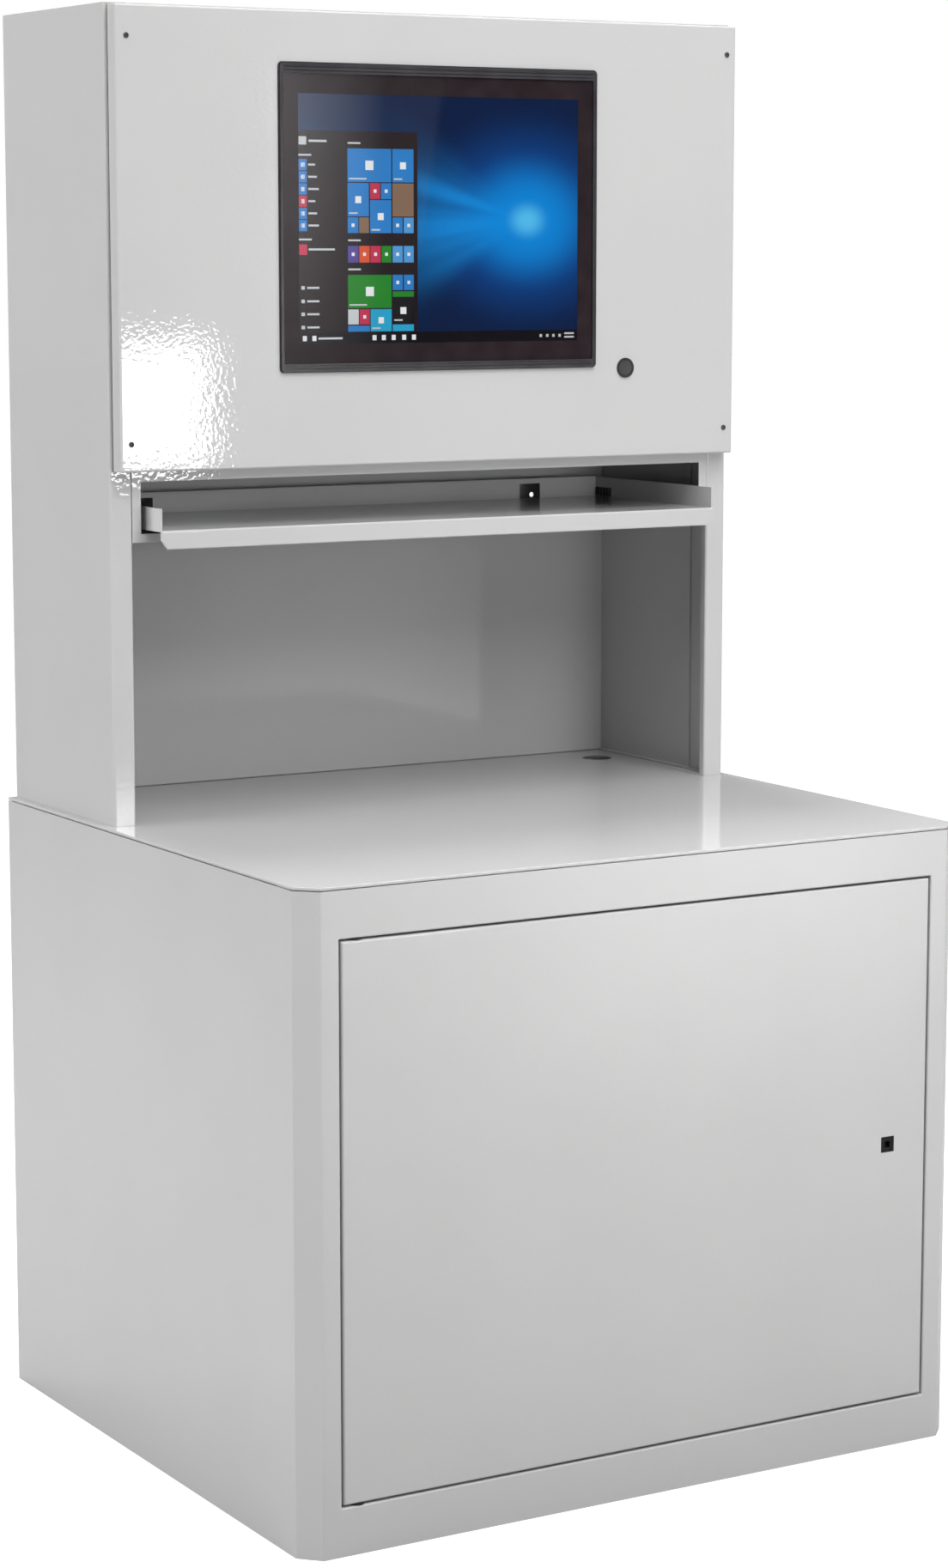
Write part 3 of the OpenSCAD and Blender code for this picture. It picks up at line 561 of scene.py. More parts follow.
def worktop():
    """Steel plate cut to the base's plan, with eased edges and a round cable hole whose wall is painted
    dark as shade.
    """
    low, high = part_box("worktop")
    ease = 0.7 * MM
    bm = bmesh.new()

    def outline(inset, z):
        """The plan's six corners, moved inwards; a 45 degree edge moves its corners by less."""
        x, y0, y1 = high.x - inset, low.y + inset, high.y - inset
        cut = CORNER_CUT - inset * (2 - math.sqrt(2))
        plan = ((-x, y1), (-x, y0 + cut), (-x + cut, y0), (x - cut, y0), (x, y0 + cut), (x, y1))
        return [Vector((px, py, z)) for px, py in plan]

    rings = [outline(ease, low.z), outline(0.0, low.z + ease)]
    for i in range(4):
        a = math.pi / 2 * i / 3
        rings.append(outline(ease * (1 - math.cos(a)), high.z - ease + ease * math.sin(a)))
    made = loft(bm, rings)
    hole = []
    for z, grow in ((low.z, 0.0), (high.z - ease, 0.0), (high.z, ease)):
        ring = circle(CABLE_HOLE_X, high.y - CABLE_HOLE_BACK, CABLE_HOLE_R + grow, z, 40)
        hole.append([Vector((p.x, p.z, p.y)) for p in ring])
    outside = len(bm.faces)
    hole_made = loft(bm, hole)
    # the hole's wall takes the second material: painted shade for the shadow inside the hole
    for face in list(bm.faces)[outside:]:
        face.material_index = 1
    fill_between(bm, [made[0], hole_made[0]])
    fill_between(bm, [made[-1], hole_made[-1]])
    obj = add_object("worktop_plate", bm, coat, "cabinet", ("worktop",), 30.0)
    obj.data.materials.append(hole_wall_painted_shade)
    even = obj.modifiers.new("shading", "WEIGHTED_NORMAL")
    even.keep_sharp = True
    even.weight = 80


worktop()

# ---------------------------------------------------------------- keyboard tray and bay

# the tray's lip: height and thickness; its cut-outs: place, width and height of the bridge above
TRAY_LIP = 17.5 * MM
TRAY_LIP_T = 2.8 * MM
CUT_OUT_X = 210.3 * MM
CUT_OUT_W = 25 * MM
CUT_OUT_TOP = 5.4 * MM


def keyboard_tray():
    """Folded tray: floor, box-folded front lip, side walls with shoe slots, back wall with cut-outs."""
    low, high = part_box("keyboard_tray")
    shoe_low, shoe_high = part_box("tray_shoe_right")
    t = 1.2 * MM
    floor_top = low.z + TRAY_LIP
    half = high.x
    # floor and lip, with the lip's lower corners cut at a slant
    floor = bmesh.new()
    lip_y = low.y + TRAY_LIP_T
    path = [(high.y - t, floor_top), (low.y, floor_top), (low.y, low.z), (lip_y, low.z),
            (lip_y, floor_top - 2 * t)]
    profile = fillet_path([Vector((0.0, y, z)) for y, z in path], 1.9 * MM)
    slant = (6 * MM, 8 * MM)
    rings = []
    for x in (-half, -half + slant[0], half - slant[0], half):
        rise = slant[1] if abs(x) > half - slant[0] / 2 else 0.0
        rings.append([Vector((x, p.y, p.z + (rise if p.z < floor_top - 5 * MM else 0.0))) for p in profile])
    made = loft(floor, rings, closed=False)
    for ring in (made[0], made[-1]):
        floor.faces.new(ring[1:])
    floor_obj = add_object("tray_sheet", floor, coat, "tray", ("keyboard_tray",))
    finish_sheet(floor_obj, t, -1.0, 0.2 * MM)

    # side walls: an outline in YZ with the slot for the shoe, open to the floor
    sides = bmesh.new()
    slot0, slot1 = shoe_low.y, shoe_high.y
    foot = floor_top - t
    outline = [(low.y + t, foot), (slot0, foot), (slot0, shoe_high.z), (slot1, shoe_high.z),
               (slot1, foot), (high.y, foot), (high.y, high.z), (low.y + t, high.z)]
    for sign in (-1.0, 1.0):
        sides.faces.new([sides.verts.new((sign * (half - t / 2), y, z)) for y, z in outline])
    side_obj = add_object("tray_side_walls", sides, coat, "tray", ())
    finish_sheet(side_obj, t, 0.0, 0.2 * MM)

    # back wall with two cut-outs that leave a bridge above them
    back = bmesh.new()
    y = high.y - t / 2
    loops = []
    for x0, x1, z0, z1 in ((-half + t, half - t, floor_top - t, high.z),
                           (-CUT_OUT_X - CUT_OUT_W, -CUT_OUT_X, floor_top, high.z - CUT_OUT_TOP),
                           (CUT_OUT_X, CUT_OUT_X + CUT_OUT_W, floor_top, high.z - CUT_OUT_TOP)):
        loops.append([back.verts.new((x, y, z)) for x, z in ((x0, z0), (x1, z0), (x1, z1), (x0, z1))])
    fill_between(back, loops)
    back_obj = add_object("tray_back_wall", back, coat, "tray", ())
    finish_sheet(back_obj, t, 0.0, 0.2 * MM)


keyboard_tray()

# ---------------------------------------------------------------- the display

PICTURE_HALF_W = 153.3 * MM
PICTURE_H = 231.0 * MM
glass_low, glass_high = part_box("display_glass")
lcd_low, lcd_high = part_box("display_panel")
picture_top = (glass_low.z + glass_high.z) / 2 + PICTURE_H / 2
# how far each layer of the picture stands before the one behind it
LAYER = 0.04 * MM
# where the backdrop's glow has its middle
GLOW_X = 96 * MM


def glow(name, colour):
    """A lit patch of the picture, with the faint unevenness of a backlight behind it."""
    mat, nodes, links, shader = new_material(name)
    clouds = noise(nodes, links, object_coords(nodes), 25.0, 1.0)
    uneven = mapped(nodes, links, clouds, 0.94, 1.06)
    shader.inputs["Base Color"].default_value = (0.002, 0.002, 0.002, 1.0)
    shader.inputs["Specular IOR Level"].default_value = 0.0
    shader.inputs["Emission Color"].default_value = (*colour, 1.0)
    links.new(uneven, shader.inputs["Emission Strength"])
    return mat


def wallpaper(name, origin_x, origin_z):
    """Deep blue backdrop with a soft glow on the right and a few wide beams that fan out to the left."""
    mat, nodes, links, shader = new_material(name)

    def op(operation, first, second=None):
        return maths(nodes, links, operation, first, second)

    def over(below, factor, colour):
        return mixed(nodes, links, factor, below, colour)

    def smooth(value, low, high, from_low, from_high):
        result = mapped(nodes, links, value, low, high, from_low, from_high)
        result.node.interpolation_type = "SMOOTHERSTEP"
        return result

    apart = nodes.new("ShaderNodeSeparateXYZ")
    links.new(object_coords(nodes), apart.inputs["Vector"])
    dx = op("SUBTRACT", apart.outputs["X"], origin_x)
    dz = op("SUBTRACT", apart.outputs["Z"], origin_z)
    spread = op("SQRT", op("ADD", op("MULTIPLY", dx, dx), op("MULTIPLY", op("MULTIPLY", dz, dz), 1.6)))
    angle = op("ARCTAN2", dz, op("MULTIPLY", dx, -1.0))
    leftward = smooth(dx, 1.0, 0.0, -0.03, 0.02)
    fan = smooth(op("ABSOLUTE", angle), 1.0, 0.0, 0.15, 0.80)
    bars = nodes.new("ShaderNodeTexNoise")
    bars.noise_dimensions = "1D"
    bars.inputs["Scale"].default_value = 3.4
    bars.inputs["Detail"].default_value = 1.0
    links.new(op("ADD", angle, 7.3), bars.inputs["W"])
    beams = mapped(nodes, links, bars.outputs["Fac"], 0.50, 1.0, 0.35, 0.65)
    beams = op("MULTIPLY", op("MULTIPLY", beams, fan), leftward)
    colour = mixed(nodes, links, smooth(spread, 1.0, 0.0, 0.03, 0.155),
                   (0.0030, 0.0125, 0.055), (0.003, 0.060, 0.270))
    beams = op("MULTIPLY", beams, smooth(spread, 1.0, 0.10, 0.05, 0.22))
    colour = over(colour, beams, (0.008, 0.235, 0.650))
    colour = over(colour, smooth(spread, 0.90, 0.0, 0.015, 0.095), (0.003, 0.250, 0.720))
    colour = over(colour, smooth(spread, 0.70, 0.0, 0.0, 0.030), (0.120, 0.620, 0.930))
    shader.inputs["Base Color"].default_value = (0.002, 0.002, 0.002, 1.0)
    shader.inputs["Specular IOR Level"].default_value = 0.0
    links.new(colour, shader.inputs["Emission Color"])
    shader.inputs["Emission Strength"].default_value = 1.0
    return mat


COLOURS = {
    "shade": (0.016, 0.009, 0.012), "bar": (0.006, 0.005, 0.008),
    "blue": (0.022, 0.200, 0.550), "sky": (0.075, 0.300, 0.640), "red": (0.520, 0.030, 0.080),
    "green": (0.017, 0.220, 0.022), "orange": (0.680, 0.085, 0.030), "violet": (0.100, 0.070, 0.300),
    "cyan": (0.020, 0.350, 0.580), "sand": (0.230, 0.140, 0.090), "black": (0.008, 0.008, 0.010),
    "pale": (0.550, 0.580, 0.600), "white": (0.780, 0.800, 0.820),
}
# left, top, right, bottom as shares of the picture, and a colour
TILES = [
    (0.000, 0.146, 0.416, 0.955, "shade"), (0.000, 0.955, 1.000, 1.000, "bar"),
    (0.170, 0.215, 0.323, 0.349, "blue"), (0.327, 0.215, 0.402, 0.349, "blue"),
    (0.170, 0.353, 0.244, 0.487, "blue"), (0.248, 0.353, 0.284, 0.417, "red"),
    (0.287, 0.353, 0.323, 0.417, "blue"), (0.327, 0.353, 0.402, 0.487, "sand"),
    (0.248, 0.421, 0.323, 0.554, "blue"),
    (0.170, 0.491, 0.207, 0.554, "blue"), (0.210, 0.491, 0.244, 0.554, "sand"),
    (0.327, 0.491, 0.363, 0.554, "blue"), (0.367, 0.491, 0.402, 0.554, "sky"),
    (0.170, 0.606, 0.207, 0.673, "violet"), (0.210, 0.606, 0.246, 0.673, "orange"),
    (0.249, 0.606, 0.285, 0.673, "red"), (0.288, 0.606, 0.323, 0.673, "green"),
    (0.327, 0.606, 0.363, 0.673, "sky"), (0.367, 0.606, 0.402, 0.673, "sky"),
    (0.170, 0.723, 0.323, 0.857, "green"), (0.327, 0.723, 0.363, 0.785, "blue"),
    (0.367, 0.723, 0.402, 0.785, "blue"), (0.327, 0.790, 0.402, 0.812, "green"),
    (0.327, 0.817, 0.402, 0.920, "black"), (0.170, 0.862, 0.207, 0.923, "pale"),
    (0.210, 0.862, 0.246, 0.923, "red"), (0.249, 0.862, 0.323, 0.952, "cyan"),
    (0.170, 0.928, 0.246, 0.952, "blue"), (0.327, 0.925, 0.402, 0.952, "cyan"),
]
LIST_TOP = 0.260
LIST_STEP = 0.0485
FOOT_ICONS = (0.774, 0.828, 0.880, 0.933)


def marks():
    """Plain bars and squares where such a screen has its entries, heads and icons."""
    made = []
    for i in range(6):
        top = LIST_TOP + i * LIST_STEP
        made.append((0.002, top, 0.029, top + 0.045, "red" if i == 3 else "blue"))
        made.append((0.009, top + 0.014, 0.022, top + 0.031, "white"))
        made.append((0.034, top + 0.018, 0.058 + 0.006 * (i % 3), top + 0.026, "pale"))
    made.append((0.002, 0.600, 0.029, 0.642, "red"))
    made.append((0.034, 0.616, 0.125, 0.624, "pale"))
    for v in FOOT_ICONS:
        made.append((0.008, v - 0.007, 0.020, v + 0.007, "pale"))
        made.append((0.028, v - 0.004, 0.070, v + 0.004, "pale"))
    for left, top in ((0.000, 0.240), (0.170, 0.190), (0.170, 0.580), (0.170, 0.697), (0.000, 0.577)):
        made.append((left + 0.001, top, left + 0.045, top + 0.007, "pale"))
    made.append((0.002, 0.170, 0.028, 0.203, "pale"))
    made.append((0.036, 0.183, 0.098, 0.192, "pale"))
    for left, top, right, bottom, colour in TILES[2:]:
        wide, high = right - left, bottom - top
        if colour in ("pale", "sand") or high < 0.05:
            continue
        size = 0.28 * min(wide * 4 / 3, high)
        u, v = (left + right) / 2, (top + bottom) / 2
        made.append((u - size * 3 / 8, v - size / 2, u + size * 3 / 8, v + size / 2, "white"))
        if wide > 0.06:
            made.append((left + 0.005, bottom - 0.016, left + 0.005 + wide * 0.4, bottom - 0.010, "pale"))
    for u in (0.012, 0.045, 0.255, 0.288, 0.323, 0.360, 0.395):
        made.append((u, 0.967, u + 0.014, 0.988, "white"))
    made.append((0.066, 0.974, 0.150, 0.982, "pale"))
    for u in (0.860, 0.884, 0.907, 0.930):
        made.append((u, 0.972, u + 0.009, 0.984, "pale"))
    made.append((0.952, 0.966, 0.988, 0.973, "pale"))
    made.append((0.952, 0.981, 0.988, 0.988, "pale"))
    return made


def picture():
    """The panel's lit face: a backdrop, a menu with plain coloured tiles and a bar along the bottom."""
    bm = bmesh.new()
    names = ["backdrop"] + sorted(COLOURS)
    face_y = lcd_low.y + 0.4 * MM

    def patch(left, top, right, bottom, index, layer):
        """A rectangle of one colour; a higher layer lies nearer to the glass."""
        x0 = -PICTURE_HALF_W + left * 2 * PICTURE_HALF_W
        x1 = -PICTURE_HALF_W + right * 2 * PICTURE_HALF_W
        z0 = picture_top - bottom * PICTURE_H
        z1 = picture_top - top * PICTURE_H
        y = face_y - layer * LAYER
        face = bm.faces.new([bm.verts.new(p) for p in ((x0, y, z0), (x1, y, z0), (x1, y, z1), (x0, y, z1))])
        face.material_index = index

    patch(0.0, 0.0, 1.0, 1.0, 0, 0)
    for left, top, right, bottom, colour in TILES[:2]:
        patch(left, top, right, bottom, names.index(colour), 1)
    for left, top, right, bottom, colour in TILES[2:]:
        patch(left, top, right, bottom, names.index(colour), 2)
    for left, top, right, bottom, colour in marks():
        patch(left, top, right, bottom, names.index(colour), 3)
    # the panel's own body behind the picture
    ring = rounded_rect(lcd_low.x, lcd_high.x, lcd_low.z, lcd_high.z, MM, face_y + LAYER)
    rings = [ring, rounded_rect(lcd_low.x, lcd_high.x, lcd_low.z, lcd_high.z, MM, lcd_high.y)]
    made = loft(bm, rings)
    for loop in made:
        face = bm.faces.new(loop)
        face.material_index = names.index("black")
    materials = [wallpaper("picture_backdrop", GLOW_X, picture_top - 0.5 * PICTURE_H)]
    materials += [glow("picture_" + name, COLOURS[name]) for name in names[1:]]
    obj = mesh_object("screen_picture", bm, materials)
    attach(obj, "cabinet")
    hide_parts("display_panel")


def glass_mask():
    """Black print on the back of the glass, round the picture."""
    bm = bmesh.new()
    y = glass_high.y - 0.02 * MM
    outer = rounded_rect(glass_low.x, glass_high.x, glass_low.z, glass_high.z, MM, y)
    inner = rounded_rect(-PICTURE_HALF_W, PICTURE_HALF_W, picture_top - PICTURE_H, picture_top, 0.3 * MM, y)
    loops = [[bm.verts.new(p) for p in ring] for ring in (outer, inner)]
    fill_between(bm, loops)
    add_object("glass_mask", bm, mask_print, "cabinet", ())


def clear_glass(name):
    """Thin clear glass: what lies behind shows straight through, and its face mirrors the room."""
    mat, nodes, links, surface = bare_material(name)
    through = nodes.new("ShaderNodeBsdfTransparent")
    mirror = nodes.new("ShaderNodeBsdfGlossy")
    smear = noise(nodes, links, object_coords(nodes), 14.0, 3.0)
    links.new(mapped(nodes, links, smear, 0.01, 0.05), mirror.inputs["Roughness"])
    tilt = nodes.new("ShaderNodeLayerWeight")
    tilt.inputs["Blend"].default_value = 0.5
    steep = maths(nodes, links, "POWER", tilt.outputs["Facing"], 5.0)
    share = mapped(nodes, links, steep, 0.04, 1.0, 0.0, 1.0)
    both = nodes.new("ShaderNodeMixShader")
    links.new(share, both.inputs["Fac"])
    links.new(through.outputs["BSDF"], both.inputs[1])
    links.new(mirror.outputs["BSDF"], both.inputs[2])
    links.new(both.outputs["Shader"], surface)
    return mat


def bezel():
    """Moulded frame: a dark outer edge, a raised rim, and two grooves along its upper and lower bars."""
    bm = bmesh.new()
    low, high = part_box("display_bezel")
    y = low.y
    rim = 2.6 * MM
    step = 0.7 * MM

    def ring(inset, depth, radius):
        return rounded_rect(low.x + inset, high.x - inset, low.z + inset, high.z - inset,
                            radius, y + depth, 5)

    edge_rings = [ring(0.0, high.y - y, 4.0 * MM), ring(0.0, 0.9 * MM, 4.0 * MM),
                  ring(0.25 * MM, 0.3 * MM, 3.8 * MM), ring(0.9 * MM, 0.0, 3.2 * MM)]
    rim_rings = [ring(rim - 0.3 * MM, 0.0, 1.6 * MM), ring(rim, 0.25 * MM, 1.3 * MM),
                 ring(rim + 0.05 * MM, step, 1.2 * MM)]
    outer = loft(bm, edge_rings + rim_rings)[-1]
    edge_faces = (len(edge_rings) - 1) * len(edge_rings[0])
    for face in list(bm.faces)[:edge_faces]:
        face.material_index = 1
    glass_ring = rounded_rect(glass_low.x, glass_high.x, glass_low.z, glass_high.z, 0.6 * MM, y + step, 5)
    inner = [bm.verts.new(p) for p in glass_ring]
    back = [bm.verts.new(Vector((p.x, high.y, p.z))) for p in glass_ring]
    grooves = []
    x0, x1 = glass_low.x + MM, glass_high.x - MM
    for edge, face in ((low.z, glass_low.z), (high.z, glass_high.z)):
        way = 1.0 if face > edge else -1.0
        span = abs(face - edge) - rim
        for share in (0.24, 0.68):
            middle = edge + way * (rim + span * share)
            grooves.append((middle - 0.55 * MM, middle + 0.55 * MM))
    loops = [outer, inner]
    slope = 0.2 * MM
    for z0, z1 in grooves:
        mouth = rounded_rect(x0, x1, z0, z1, 0.3 * MM, y + step)
        bed = rounded_rect(x0 + slope, x1 - slope, z0 + slope, z1 - slope, 0.15 * MM, y + step + 0.9 * MM)
        mouth_loop, bed_loop = loft(bm, [mouth, bed])
        bm.faces.new(bed_loop)
        loops.append(mouth_loop)
    fill_between(bm, loops)
    count = len(inner)
    for i in range(count):
        j = (i + 1) % count
        bm.faces.new((inner[i], inner[j], back[j], back[i]))
    obj = add_object("bezel_moulding", bm, bezel_plastic, "cabinet", ("display_bezel",),
                     30.0)
    obj.data.materials.append(bezel_edge)
    even = obj.modifiers.new("shading", "WEIGHTED_NORMAL")
    even.keep_sharp = True


glass = clear_glass("display_glass")
picture()
glass_mask()
bezel()

# ---------------------------------------------------------------- carried-over CAD nodes

FINISH = {
    "button_cap": cap_grey, "lock_housing": lock_black_and_painted_shade, "lock_rotor": lock_black_and_painted_shade, "tray_shoe_left": nylon,
    "tray_shoe_right": nylon, "tray_glides": nylon, "hinge_bush_upper": nylon, "hinge_bush_lower": nylon,
}
BY_SLOT = {
    "powder_coat": coat, "zinc_steel": zinc, "black_steel": black_oxide, "black_plastic": black,
    "black_rubber": rubber, "screen_glass": glass, "screen_panel_face": black, "circuit_board": board,
}
slots = {row["node"]: row["material_slot"] for row in frame["record"]["subparts"]}
# how far the sharp edges of a CAD node are rounded, in millimetres
EDGES = {
    "worktop_rail_front": 0.4, "worktop_rail_rear": 0.4, "side_liner_left": 0.4, "side_liner_right": 0.4,
    "foot_plate_left": 0.4, "foot_plate_right": 0.4, "upper_back": 0.4, "base_back": 0.4,
    "back_foot_strip": 0.4, "roof": 0.6, "bay_frame": 0.4, "bay_floor": 0.4, "bay_ceiling": 0.4,
    "base_floor": 0.4, "door_stiffener": 0.5, "display_housing": 0.5, "display_clamps": 0.3,
    "hinge_block_upper": 0.6, "hinge_block_lower": 0.6, "tray_shoe_left": 0.3, "tray_shoe_right": 0.3,
    "button_cap": 0.5, "button_ring": 0.4, "lock_cam": 0.4, "lock_plate": 0.4, "lock_housing": 0.4,
    "runner_rail_left": 0.3, "runner_rail_right": 0.3, "base_back_screws": 0.25,
}
for node_name, node_object in NODES.items():
    node_object.data.materials.clear()
    node_object.data.materials.append(FINISH.get(node_name) or BY_SLOT[slots[node_name]])
    if node_name in EDGES:
        weld = node_object.modifiers.new("weld", "WELD")
        weld.merge_threshold = 0.000005
        soften(node_object, EDGES[node_name] * MM, 2, 30.0)

# ---------------------------------------------------------------- floor, light, camera

scene = bpy.context.scene
scene.view_settings.view_transform = "Standard"


def staged(name, points, material):
    """A flat card that isn't part of the object."""
    bm = bmesh.new()
    bm.faces.new([bm.verts.new(p) for p in points])
    obj = mesh_object(name, bm, [material])
    return obj


def pale_floor():
    """White to the eye, with a soft contact shadow, and mid grey to the light that bounces off it."""
    mat, nodes, links, shader = new_material("pale_floor")
    seen = nodes.new("ShaderNodeLightPath").outputs["Is Camera Ray"]
    shader.inputs["Base Color"].default_value = (0.40, 0.40, 0.40, 1.0)
    shader.inputs["Roughness"].default_value = 0.9
    shader.inputs["Specular IOR Level"].default_value = 0.0
    shader.inputs["Emission Color"].default_value = (1.0, 1.0, 1.0, 1.0)
    reach = nodes.new("ShaderNodeVectorMath")
    reach.operation = "LENGTH"
    links.new(object_coords(nodes), reach.inputs[0])
    glow_out = mapped(nodes, links, reach.outputs["Value"], 0.72, 1.0, 0.6, 2.6)
    links.new(maths(nodes, links, "MULTIPLY", seen, glow_out), shader.inputs["Emission Strength"])
    return mat


FLOOR = 30.0
staged("studio_floor", [(-FLOOR, -FLOOR, 0), (FLOOR, -FLOOR, 0), (FLOOR, FLOOR, 0), (-FLOOR, FLOOR, 0)],
       pale_floor())

# radiance of the studio round the object: overhead, and at eye level by quarter
STUDIO = {"top": 0.10, "front_right": 0.03, "front_left": 0.06, "back_left": 0.14, "back_right": 0.20}


def studio_world():
    """White to the eye; to the light and in the gloss a dim room that differs by quarter."""
    world = bpy.data.worlds.new("studio")
    world.use_nodes = True
    nodes = world.node_tree.nodes
    links = world.node_tree.links
    nodes.clear()
    out = nodes.new("ShaderNodeOutputWorld")
    white = nodes.new("ShaderNodeBackground")
    white.inputs["Color"].default_value = (1.0, 1.0, 1.0, 1.0)
    room = nodes.new("ShaderNodeBackground")
    way = nodes.new("ShaderNodeSeparateXYZ")
    links.new(nodes.new("ShaderNodeTexCoord").outputs["Generated"], way.inputs["Vector"])
    right = mapped(nodes, links, way.outputs["X"], 0.0, 1.0, -0.25, 0.25)
    rear = mapped(nodes, links, way.outputs["Y"], 0.0, 1.0, -0.25, 0.25)
    up = mapped(nodes, links, way.outputs["Z"], 0.0, 1.0, 0.2, 0.6)

    def grey(value):
        return (value, value, value)

    front = mixed(nodes, links, right, grey(STUDIO["front_left"]), grey(STUDIO["front_right"]))
    back = mixed(nodes, links, right, grey(STUDIO["back_left"]), grey(STUDIO["back_right"]))
    level = mixed(nodes, links, rear, front, back)
    links.new(mixed(nodes, links, up, level, grey(STUDIO["top"])), room.inputs["Color"])
    choose = nodes.new("ShaderNodeMixShader")
    links.new(nodes.new("ShaderNodeLightPath").outputs["Is Camera Ray"], choose.inputs["Fac"])
    links.new(room.outputs["Background"], choose.inputs[1])
    links.new(white.outputs["Background"], choose.inputs[2])
    links.new(choose.outputs["Shader"], out.inputs["Surface"])
    scene.world = world


studio_world()


def softbox(name, place, target, width, height, radiance, mirrored=False):
    """A rectangular studio light; most light the object without showing in its glossy coat."""
    light = bpy.data.lights.new(name, "AREA")
    light.shape = "RECTANGLE"
    light.size = width
    light.size_y = height
    light.energy = radiance * math.pi * width * height
    obj = bpy.data.objects.new(name, light)
    obj.location = place
    obj.rotation_mode = "QUATERNION"
    obj.rotation_quaternion = (Vector(target) - Vector(place)).to_track_quat("-Z", "Y")
    obj.visible_camera = False
    obj.visible_glossy = mirrored
    scene.collection.objects.link(obj)


# place, target, width, height and radiance
SOFTBOXES = {
    "box_overhead": ((0.0, -0.4, 3.3), (0.0, -0.1, 0.6), 3.0, 3.0, 2.2),
    "box_front_high": ((0.3, -3.2, 2.9), (0.0, -0.1, 0.6), 2.0, 1.2, 6.8),
    "box_front_right": ((2.9, -2.2, 1.4), (0.0, 0.0, 0.6), 1.6, 1.6, 1.9),
    "box_left": ((-3.4, 0.6, 1.4), (0.0, 0.0, 0.6), 1.8, 1.8, 8.6),
    "box_right": ((2.7, 2.7, 1.4), (0.0, 0.0, 0.6), 1.8, 1.8, 8.0),
    "box_top_front": ((0.0, -1.6, 3.2), (0.0, -0.2, 0.7), 1.6, 1.0, 6.5),
    "box_top_back": ((0.0, 2.6, 2.6), (0.0, 0.0, 0.8), 2.0, 1.5, 6.4),
    "box_top_rear": ((0.1, 0.75, 3.2), (0.0, -0.3, 0.6), 0.8, 0.5, 34.0),
    "box_near_door": ((0.04, -0.9, 0.9), (0.0, -0.3, 0.55), 0.3, 0.2, 7.0),
}
for box_name, (place, target, width, height, radiance) in SOFTBOXES.items():
    softbox(box_name, place, target, width, height, radiance)

# the plane of the window and of the glow cards, in front of the cabinet
WINDOW_Y = -1.5
# a bright window that the screen panel mirrors in its lower left corner
softbox("window", (0.330, WINDOW_Y, 0.909), (0.330, 0.0, 0.909), 0.40, 0.178, 22.0, True)


def gloss_card(name, corners, depth, brightness):
    """Flat glow that only glossy surfaces show; brightness builds its strength from the x and z sockets."""
    mat, nodes, links, surface = bare_material(name)
    light = nodes.new("ShaderNodeEmission")
    apart = nodes.new("ShaderNodeSeparateXYZ")
    links.new(object_coords(nodes), apart.inputs["Vector"])
    links.new(brightness(nodes, links, apart.outputs["X"], apart.outputs["Z"]), light.inputs["Strength"])
    see = nodes.new("ShaderNodeBsdfTransparent")
    both = nodes.new("ShaderNodeAddShader")
    links.new(light.outputs["Emission"], both.inputs[0])
    links.new(see.outputs["BSDF"], both.inputs[1])
    links.new(both.outputs["Shader"], surface)
    obj = staged(name, [(x, WINDOW_Y + depth, z) for x, z in corners], mat)
    obj.visible_camera = False
    obj.visible_diffuse = False
    obj.visible_shadow = False
    obj.visible_transmission = False


def pool(x, z, reach_x, reach_z, peak):
    """Brightness that fades out all round from a middle."""

    def brightness(nodes, links, across, up):
        dx = maths(nodes, links, "DIVIDE", maths(nodes, links, "SUBTRACT", across, x), reach_x)
        dz = maths(nodes, links, "DIVIDE", maths(nodes, links, "SUBTRACT", up, z), reach_z)
        square_x = maths(nodes, links, "MULTIPLY", dx, dx)
        square_z = maths(nodes, links, "MULTIPLY", dz, dz)
        square = maths(nodes, links, "ADD", square_x, square_z)
        fade = maths(nodes, links, "POWER", math.e, maths(nodes, links, "MULTIPLY", square, -1.0))
        return maths(nodes, links, "MULTIPLY", fade, peak)

    return brightness


def veil(nodes, links, across, up):
    """Brightness that falls off to the right and downwards."""
    sideways = mapped(nodes, links, across, 2.15, 0.18, 0.63, 0.80)
    downwards = mapped(nodes, links, up, 0.3, 1.0, 0.95, 1.32)
    return maths(nodes, links, "MULTIPLY", sideways, downwards)


gloss_card("glow_low", [(0.0, 0.001), (1.9, 0.001), (1.9, 0.93), (0.0, 0.93)], 0.02,
           pool(0.95, 0.36, 0.40, 0.24, 1.6))
gloss_card("glare_on_glass", [(0.622, 0.93), (0.826, 0.93), (0.899, 1.38), (0.622, 1.38)], 0.02, veil)

# ---------------------------------------------------------------- gauze

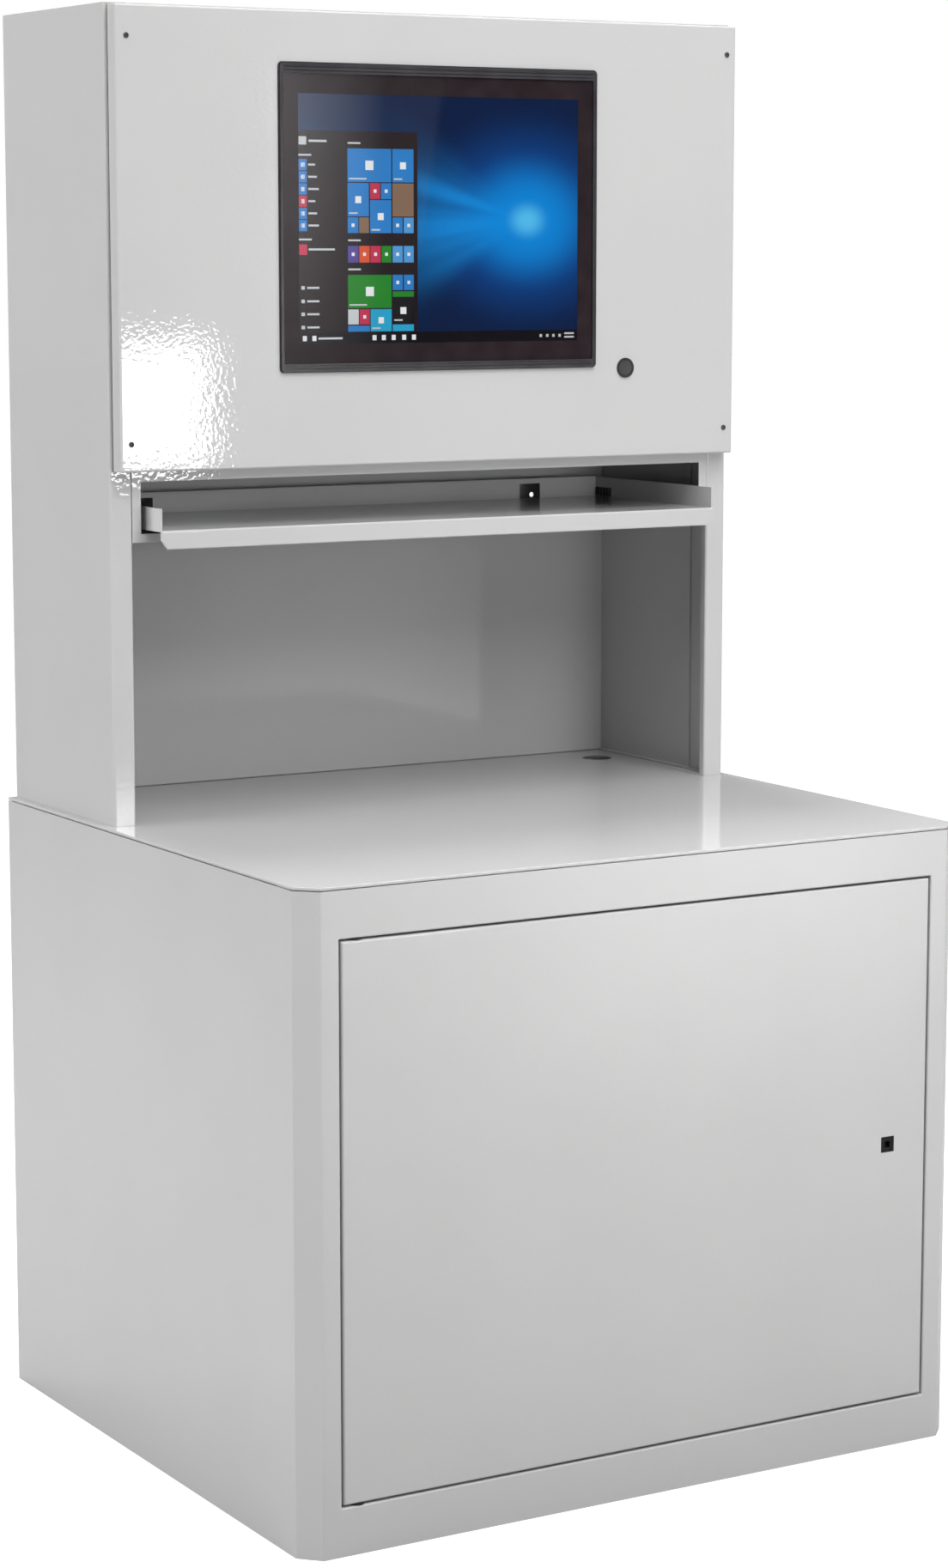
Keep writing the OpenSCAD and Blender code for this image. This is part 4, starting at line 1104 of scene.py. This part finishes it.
post_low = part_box("upper_side_left")[0]
worktop_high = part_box("worktop")[1]
roof_low, roof_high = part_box("roof")


def gauze(name, corners, foot, share_low, share_high, rise):
    """Invisible sheet that passes on a share of the light: share_low at its foot, share_high higher up."""
    mat, nodes, links, surface = bare_material(name)
    cloth = nodes.new("ShaderNodeBsdfTransparent")
    apart = nodes.new("ShaderNodeSeparateXYZ")
    links.new(object_coords(nodes), apart.inputs["Vector"])
    share = mapped(nodes, links, apart.outputs["Z"], share_low, share_high, foot, foot + rise)
    links.new(share, cloth.inputs["Color"])
    links.new(cloth.outputs["BSDF"], surface)
    obj = staged(name, corners, mat)
    obj.visible_camera = False
    obj.visible_glossy = False


liner_x = -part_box("side_liner_left")[1].x
mouth_y = post_low.y + 2 * MM
mouth_z = (worktop_high.z + MM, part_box("bay_floor")[0].z - MM)
gauze("niche_gauze", [(-liner_x, mouth_y, mouth_z[0]), (liner_x, mouth_y, mouth_z[0]),
                      (liner_x, mouth_y, mouth_z[1]), (-liner_x, mouth_y, mouth_z[1])],
      mouth_z[0], 1.0, 0.70, 0.15)
roof_z = roof_high.z + 4 * MM
gauze("roof_gauze", [(roof_low.x, roof_low.y, roof_z), (roof_high.x, roof_low.y, roof_z),
                     (roof_high.x, roof_high.y, roof_z), (roof_low.x, roof_high.y, roof_z)],
      roof_z, 0.4, 0.4, 1.0)

AZIMUTH = math.radians(-30.604)
ELEVATION = math.radians(8.31)
CAMERA_PLACE = Vector((-1.7581, -2.9725, 1.1208))
FOCAL = 83.61
camera_data = bpy.data.cameras.new("camera")
camera_data.lens = FOCAL
camera_data.sensor_width = 36.0
camera_data.clip_start = 0.05
camera_data.clip_end = 200.0
camera = bpy.data.objects.new("camera", camera_data)
camera.location = CAMERA_PLACE
camera.rotation_mode = "QUATERNION"
back_way = Vector((math.sin(AZIMUTH) * math.cos(ELEVATION), -math.cos(AZIMUTH) * math.cos(ELEVATION),
                   math.sin(ELEVATION)))
camera.rotation_quaternion = (-back_way).to_track_quat("-Z", "Y")
scene.collection.objects.link(camera)
scene.camera = camera
